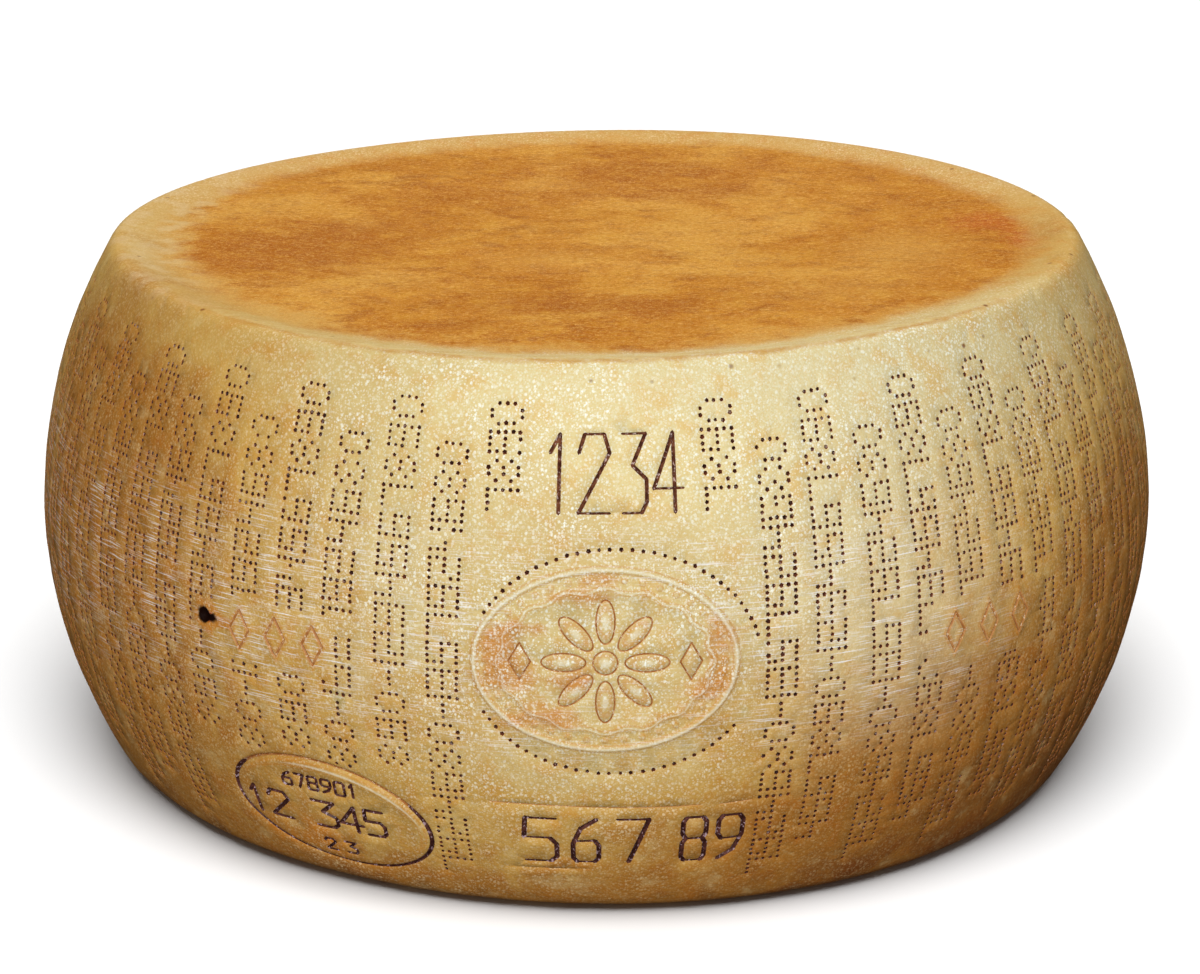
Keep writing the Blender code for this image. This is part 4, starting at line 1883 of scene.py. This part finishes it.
class RindFinish(Finish):
    """Dry waxy rind: straw and tan on the side, amber on the top, with flecks, stains and scratches; its
    paler front is painted sheen, its darker sides and lower right painted shade, and its brightest flecks
    painted glints.
    """

    pale: Colour = shade(220, 204, 149)
    straw: Colour = shade(204, 181, 121)
    chalk: Colour = shade(216, 206, 166)
    gold: Colour = shade(194, 155, 80)
    tan: Colour = shade(163, 110, 42)
    umber: Colour = shade(122, 72, 27)
    orange_wash: Colour = shade(252, 218, 150)
    cream: Colour = shade(242, 247, 238)
    warm_fleck: Colour = shade(230, 205, 155)
    white: Colour = shade(240, 241, 246)
    amber_light: Colour = shade(196, 134, 40)
    amber: Colour = shade(180, 112, 16)
    amber_dark: Colour = shade(148, 78, 5)
    burnt_amber: Colour = shade(160, 88, 6)
    honey: Colour = shade(203, 148, 50)
    haze: Colour = shade(206, 154, 68)
    sparkle: Colour = shade(240, 198, 116)
    lip: Colour = shade(196, 153, 80)
    crease: Colour = shade(180, 132, 52)
    stain_and_shade_brown: Colour = shade(190, 120, 38)
    spot_black: Colour = shade(24, 8, 4)
    rust: Colour = shade(180, 82, 18)
    moss: Colour = shade(146, 170, 134)

    def __init__(self) -> None:
        """Starts the material with the maps and noises that its parts share."""
        super().__init__("rind")
        self.crest, self.tone_and_painted_light = self.map("crest"), self.map("tone_and_painted_light")
        self.mottle = self.noise(42.0, 5.0, shift=3.0, roughness=0.62, distortion=0.6)
        self.patches = self.noise(95.0, 4.0, shift=7.0, roughness=0.6)
        self.grain = self.noise(520.0, 3.0, roughness=0.65)
        self.fine = self.noise(1500.0, 2.0)
        self.small_fleck = self.spots(1200.0, 0.28, 0.50, EVEN, 17.0, 0.0005, 1600.0)

    def build(self) -> bpy.types.Material:
        """Joins the parts up.

        Returns:
            The material.
        """
        big_fleck = self.spots(660.0, 0.24, 0.46, (1.0, 1.0, 0.9), 11.0, 0.0011, 850.0)
        glint = self.math("MAXIMUM", big_fleck, self.times(self.small_fleck, 0.75))
        glint = self.times(glint, self.ramp(self.mottle, 0.36, 0.58, 1.0, 0.55))
        # Pale flecks, part grain and part painted glints: whiter and more of them where the side is painted
        # paler, as if lit.
        fleck = self.coats(self.warm_fleck, (self.cream, self.tone_and_painted_light, 0.0, 0.8))
        side = self.stained(self.side())
        side = self.mix(side, fleck, glint, self.ramp(self.tone_and_painted_light, -0.4, 0.9, 0.20, 0.92))
        side = self.mix(side, self.white, self.scratches(), 0.80)
        side = self.coats(side, (self.spot_black, self.map("black"), 0.35, 0.6))
        inward = self.plus(self.crest, self.stir(self.mottle, 0.020))
        colour = self.edged(self.coats(side, (self.top(), inward, 0.008, 0.024)))
        grime = self.ramp(self.fine, 0.40, 0.7, 0.0, 0.35)
        colour = self.mix(colour, self.orange_wash, grime, blend="MULTIPLY")
        rough = self.plus(self.ramp(self.grain, 0.3, 0.7, 0.40, 0.62), self.times(glint, -0.14))
        self.give(Base_Color=colour, Roughness=rough, Specular_IOR_Level=0.14)
        height = self.plus(self.grain, self.times(self.fine, 0.4), self.times(self.patches, 2.0))
        self.bump(height, 0.00032, 0.9)
        return self.material

    def scratches(self) -> Socket:
        """Where fine level scratches show round the belly.

        Returns:
            Their share, 0 to 1.
        """
        long = self.spots(1.0, 0.16, 0.38, (44.0, 44.0, 1250.0), 2.0, 0.0009)
        short = self.spots(1.0, 0.18, 0.42, (110.0, 110.0, 1800.0), 5.0, 0.0007)
        return self.times(
            self.math("MAXIMUM", long, self.times(short, 0.8)),
            self.band(self.crest, -0.160, -0.128, -0.084, -0.052),
            self.ramp(self.tone_and_painted_light, -0.4, 0.4, 0.35, 1.0),
            self.ramp(self.map("calm"), 0.2, 0.7, 1.0, 0.30),
            self.ramp(self.place("X"), 0.11, 0.165, 1.0, 0.12),
            self.ramp(self.mottle, 0.38, 0.56, 0.35, 1.0),
        )

    def side(self) -> Socket:
        """Colour of the side before its stains: paler at the front and front shoulders as painted sheen, and
        darker at the sides and lower right as painted shade.

        Returns:
            The colour.
        """
        stirred = self.stir(self.mottle, 0.52)
        low = self.plus(self.crest, self.stir(self.mottle, 0.05))
        tone_and_painted_light = self.plus(
            self.tone_and_painted_light,
            stirred,
            self.ramp(self.crest, -0.040, -0.012, 0.0, 0.24),
            self.ramp(low, -0.190, -0.242, 0.0, -0.45),
        )
        colour = self.coats(
            self.umber,
            (self.tan, tone_and_painted_light, -0.60, -0.02),
            (self.gold, tone_and_painted_light, 0.0, 0.38),
            (self.straw, tone_and_painted_light, 0.30, 0.78),
            (self.pale, tone_and_painted_light, 0.76, 1.2),
            (self.chalk, self.plus(self.map("chalk"), self.times(stirred, 0.8)), 0.05, 0.95, 0.66),
        )
        far = self.ramp(self.place("Y"), -0.02, 0.10)
        colour = self.mix(colour, self.lip, far, self.ramp(self.crest, -0.034, -0.006, 0.0, 0.8))
        warm = self.ramp(self.patches, 0.48, 0.68, 0.0, 0.50)
        colour = self.mix(colour, self.orange_wash, warm, blend="MULTIPLY")
        return self.coats(colour, (self.pale, self.patches, 0.44, 0.30, 0.20))

    def stained(self, colour: Value) -> Socket:
        """Adds brown, rusty and green stains, the brown feet of the relief as painted shade and its pale
        crests as a painted highlight.

        Args:
            colour: Colour below.

        Returns:
            The stained colour.
        """
        ragged = self.stir(self.patches, 1.4)
        spread = self.plus(self.map("brown"), ragged)
        ridge = self.map("ridge")
        colour = self.coats(
            colour,
            (self.stain_and_shade_brown, spread, 0.25, 0.95, 0.72),
            (self.rust, spread, 1.45, 2.0, 0.9),
            (self.moss, self.plus(self.map("moss"), ragged), 0.35, 0.95, 0.34),
        )
        # The browner feet of the relief are painted shade, its paler crests a painted highlight.
        colour = self.mix(colour, self.stain_and_shade_brown, self.band(ridge, 0.02, 0.22, 0.30, 0.60), 0.40)
        return self.coats(colour, (self.cream, ridge, 0.55, 1.0, 0.40))

    def top(self) -> Socket:
        """Colour of the top: amber clouds, wisps and fine grain, with a ragged golden lip.

        Returns:
            The colour.
        """
        clouds = self.noise(13.0, 5.0, shift=21.0, roughness=0.60, distortion=0.6)
        wisps = self.noise(60.0, 7.0, (1.0, 1.3, 1.0), 12.0, 0.68, 0.2)
        fibres = self.noise(300.0, 4.0, (0.8, 1.0, 1.0), 27.0, 0.7, 0.2)
        inward = self.plus(
            self.crest,
            self.stir(wisps, 0.055),
            self.stir(clouds, 0.05),
            self.ramp(self.place("Y"), -0.06, 0.14, 0.0, 0.020),
            self.ramp(self.place("X"), -0.13, -0.20, 0.0, -0.012),
            self.ramp(self.place("X"), 0.11, 0.19, 0.0, 0.021),
        )
        colour = self.coats(
            self.amber_light,
            (self.amber, clouds, 0.40, 0.58),
            (self.amber_dark, wisps, 0.50, 0.68, 0.75),
            (self.honey, wisps, 0.48, 0.32, 0.55),
            (self.haze, self.map("pale"), 0.1, 0.9, 0.65),
            (self.haze, clouds, 0.48, 0.34, 0.50),
            (self.burnt_amber, self.plus(self.map("burnt"), self.stir(wisps, 1.5)), 0.12, 0.9, 0.74),
            (self.rust, self.plus(self.map("rust"), self.stir(fibres, 2.0)), 0.25, 1.1, 0.62),
            (self.honey, fibres, 0.48, 0.34, 0.40),
            (self.amber_dark, fibres, 0.52, 0.68, 0.46),
            (self.amber_dark, self.grain, 0.53, 0.70, 0.42),
            (self.sparkle, self.grain, 0.46, 0.32, 0.30),
            (self.lip, inward, 0.034, 0.012, 0.85),
        )
        return self.mix(colour, self.sparkle, self.small_fleck, 0.34)

    def edged(self, colour: Value) -> Socket:
        """Adds the crease along the front of the lip, the straw band inside it as a painted highlight on the
        front of the rim, a mottled pale patch on the left of the lip as a painted highlight where the rim
        turns, and small brown specks.

        Args:
            colour: Colour below.

        Returns:
            The colour with them.
        """
        # The straw band at the front of the lip is a painted highlight on the rim.
        level = self.plus(self.crest, self.stir(self.mottle, 0.007))
        front = self.ramp(self.place("Y"), -0.09, -0.15)
        streaks = self.noise(1.0, 1.0, (60.0, 560.0, 560.0), 9.0)
        banded = self.coats(self.straw, (self.crease, streaks, 0.50, 0.62, 0.7))
        colour = self.mix(colour, banded, self.band(level, -0.0005, 0.0015, 0.008, 0.015), front, 0.6)
        line = self.ramp(self.math("ABSOLUTE", self.plus(level, 0.0006)), 0.0026, 0.0002)
        colour = self.mix(colour, self.crease, line, front, self.ramp(self.patches, 0.36, 0.60, 0.45, 0.75))
        # A mottled pale patch on the left of the lip, painted as the highlight where the rim turns.
        left = self.ramp(self.place("X"), -0.13, -0.18)
        pale_mottle = self.ramp(self.patches, 0.44, 0.62, 0.0, 0.30)
        colour = self.mix(colour, self.chalk, left, self.band(self.crest, -0.012, 0.0, 0.018, 0.034), pale_mottle)
        specks = self.spots(95.0, 0.04, 0.13, shift=41.0)
        return self.mix(colour, self.umber, specks, self.band(self.crest, -0.030, -0.012, 0.004, 0.012), 0.9)


@dataclass(frozen=True)
class MarkFinish:
    """The dark inside of a pin hole or a cut line, paler at its rim and with small painted glints."""

    name: str
    rim: Colour
    dark: Colour
    warm: Colour
    glint: Colour
    glint_share: float
    roughness: float

    def build(self) -> bpy.types.Material:
        """Builds the material.

        Returns:
            The material.
        """
        finish = Finish(self.name)
        mottle = finish.noise(380.0, 3.0, roughness=0.6)
        inside = finish.coats(self.dark, (self.warm, mottle, 0.40, 0.68))
        # Painted glints: pale sparks over the dark inside.
        sparks = finish.noise(820.0, 1.0, shift=5.0)
        colour = finish.coats(
            self.rim,
            (inside, finish.map("pit"), 0.0, 0.26),
            (self.glint, sparks, 0.60, 0.68, self.glint_share),
        )
        rough = finish.ramp(mottle, 0.3, 0.7, self.roughness, self.roughness + 0.2)
        finish.give(Base_Color=colour, Roughness=rough, Specular_IOR_Level=0.3)
        finish.bump(finish.noise(1400.0, 2.0), 0.0001, 0.8)
        return finish.material


# Each mark's name, the colours of its rim, inside, warm patches and glints, their share, and its roughness.
MARKS = (
    ("pin_hole", (166, 98, 46), (44, 16, 7), (92, 42, 18), (212, 186, 170), 0.30, 0.6),
    ("cut_number", (130, 74, 44), (78, 40, 26), (132, 80, 52), (222, 200, 190), 0.75, 0.4),
    ("cut_deep_line", (104, 56, 38), (58, 28, 24), (100, 58, 50), (196, 168, 176), 0.7, 0.4),
    ("cut_pale_line", (190, 138, 78), (164, 104, 50), (190, 138, 84), (240, 222, 190), 0.5, 0.5),
)


@dataclass(frozen=True)
class Wheel:
    """The wheel: its surface, its stains and its finishes."""

    surface: WheelSurface = WheelSurface()
    marks: tuple[MarkFinish, ...] = tuple(
        MarkFinish(name, *(shade(*colour) for colour in colours), share, roughness)
        for name, *colours, share, roughness in MARKS
    )

    def add_stains(self, skin: Skin) -> None:
        """Adds the maps that hold the soft patches of colour.

        Args:
            skin: The surface that carries them.
        """
        length = skin.maps["crest"] + SHAPE.side_length()
        for name, rows in SIDE_PATCHES.items():
            cover = sum(Patch(*row).cover(skin.maps["u"], length) for row in rows)
            skin.maps[name] = np.clip(cover, -1.0, 2.0)
        is_top = skin.maps["crest"] > 0
        for name, rows in TOP_PATCHES.items():
            skin.maps[name] = sum(FacePatch(*row).cover(skin.points) for row in rows) * is_top

    def build(self) -> bpy.types.Object:
        """Builds the wheel.

        Returns:
            Its object.
        """
        skin = self.surface.build()
        self.add_stains(skin)
        mesh = bpy.data.meshes.new("wheel_rind")
        mesh.from_pydata(skin.points.tolist(), [], skin.faces.tolist())
        for finish in (RindFinish(), *self.marks):
            mesh.materials.append(finish.build())
        mesh.polygons.foreach_set("material_index", skin.dress.astype(np.int32))
        mesh.polygons.foreach_set("use_smooth", skin.dress == Dress.RIND.value)
        for name, values in skin.maps.items():
            if name not in ("u", "v"):
                layer = mesh.attributes.new(name, "FLOAT", "POINT")
                layer.data.foreach_set("value", values.astype(np.float32))
        mesh.update()
        wheel = stand("wheel_rind", mesh)
        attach(wheel, "root")
        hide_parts(WHEEL_NODE)
        log.info("wheel_rind: %d corners, %d triangles", len(mesh.vertices), len(mesh.polygons))
        return wheel


@dataclass(frozen=True)
class Sun:
    """A soft far light: its direction and height over the horizon in degrees, its strength and its spread."""

    name: str
    direction: float
    rise: float
    strength: float
    spread: float
    shines: bool = True

    def build(self, lit: bpy.types.Object) -> None:
        """Adds the light.

        Args:
            lit: The object that it lights.
        """
        light = bpy.data.lights.new(self.name, "SUN")
        light.energy = self.strength
        light.angle = math.radians(self.spread)
        lamp = stand(self.name, light)
        turn, rise = math.radians(self.direction), math.radians(self.rise)
        toward = Vector((math.sin(turn) * math.cos(rise), -math.cos(turn) * math.cos(rise), math.sin(rise)))
        lamp.rotation_euler = toward.to_track_quat("Z", "Y").to_euler()
        lamp.location = toward * 3
        lamp.visible_glossy = self.shines
        group = bpy.data.collections.new(self.name + "_lights")
        group.objects.link(lit)
        lamp.light_linking.receiver_collection = group


@dataclass(frozen=True)
class Studio:
    """A pale floor, soft light from the front and above, and the camera."""

    floor_half: float = 9.0
    floor_drop: float = 0.0004
    floor_colour: Colour = (0.62, 0.62, 0.62, 1.0)
    floor_shade: Colour = (0.60, 0.60, 0.60, 1.0)
    room_strength: float = 0.20
    key: Sun = Sun("key", -3.0, 28.0, 3.1, 34.0)
    back: Sun = Sun("back", 180.0, 40.0, 2.8, 40.0, shines=False)
    floor_light: Sun = Sun("floor_light", 0.0, 66.0, 5.6, 44.0)
    backdrop_radius: float = 24.0
    backdrop_foot: float = -2.0
    backdrop_steps: int = 48
    lens: float = 100.86
    sensor: float = 36.0
    camera_place: Triple = (0.0013, -1.3457, 0.5465)
    camera_pitch: float = 71.67
    camera_roll: float = 0.225

    def add_floor(self) -> bpy.types.Object:
        """Adds the floor, which doesn't throw light back at the wheel.

        Returns:
            Its object.
        """
        half = self.floor_half
        mesh = bpy.data.meshes.new("floor")
        corners = [(-half, -half, 0.0), (half, -half, 0.0), (half, half, 0.0), (-half, half, 0.0)]
        mesh.from_pydata(corners, [], [(0, 1, 2, 3)])
        finish = Finish("floor")
        shaded = finish.coats(self.floor_colour, (self.floor_shade, finish.noise(3.0, 2.0), 0.4, 0.6, 0.3))
        finish.give(Base_Color=shaded, Roughness=0.9, Specular_IOR_Level=0.0)
        mesh.materials.append(finish.material)
        floor = stand("floor", mesh)
        floor.location.z = -self.floor_drop
        floor.visible_diffuse = False
        floor.visible_glossy = False
        log.info("floor added")
        return floor

    def add_backdrop(self) -> None:
        """Adds the white surround that only the camera sees."""
        mesh = bpy.data.meshes.new("backdrop")
        steps = self.backdrop_steps
        low = [(x, y, self.backdrop_foot) for x, y in oval(self.backdrop_radius, self.backdrop_radius, steps)]
        high = [(x, y, self.backdrop_radius) for x, y, _ in low]
        pairs = [(step, (step + 1) % steps) for step in range(steps)]
        faces = [(first, second, steps + second, steps + first) for first, second in pairs]
        mesh.from_pydata(low + high, [], faces)
        finish = Finish("backdrop")
        white, black = (1.0, 1.0, 1.0, 1.0), (0.0, 0.0, 0.0, 1.0)
        finish.give(Base_Color=black, Emission_Color=white, Emission_Strength=1.0)
        mesh.materials.append(finish.material)
        backdrop = stand("backdrop", mesh)
        for kind in ("diffuse", "glossy", "transmission", "shadow"):
            setattr(backdrop, "visible_" + kind, False)
        log.info("backdrop added")

    def add_light(self, wheel: bpy.types.Object, floor: bpy.types.Object) -> None:
        """Adds the lights and the even light of the room.

        Args:
            wheel: The wheel.
            floor: The floor.
        """
        world = bpy.data.worlds.new("room")
        world.use_nodes = True
        background = world.node_tree.nodes["Background"]
        background.inputs["Color"].default_value = (1.0, 1.0, 1.0, 1.0)
        background.inputs["Strength"].default_value = self.room_strength
        world.cycles_visibility.glossy = False
        bpy.context.scene.world = world
        self.key.build(wheel)
        self.back.build(wheel)
        self.floor_light.build(floor)
        log.info("light added")

    def add_camera(self) -> None:
        """Adds the camera where the photograph was taken from."""
        lens = bpy.data.cameras.new("camera")
        lens.lens = self.lens
        lens.sensor_width = self.sensor
        camera = stand("camera", lens)
        pitch = Matrix.Rotation(math.radians(self.camera_pitch), 4, "X")
        roll = Matrix.Rotation(math.radians(self.camera_roll), 4, "Z")
        camera.matrix_world = Matrix.Translation(self.camera_place) @ pitch @ roll
        bpy.context.scene.camera = camera
        log.info("camera added")

    def build(self, wheel: bpy.types.Object) -> None:
        """Builds the studio.

        Args:
            wheel: The wheel that stands in it.
        """
        self.add_light(wheel, self.add_floor())
        self.add_backdrop()
        self.add_camera()
        settings = bpy.context.scene.view_settings
        settings.view_transform = "Standard"
        settings.look = "None"


def main() -> None:
    """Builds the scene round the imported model."""
    logging.basicConfig(level=logging.INFO, format="%(name)s: %(message)s")
    frame: Optional[dict[str, Any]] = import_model()
    log.info("frame loaded: %s", ", ".join(sorted(frame["nodes"])))
    Studio().build(Wheel().build())


if __name__ == "__main__":
    main()
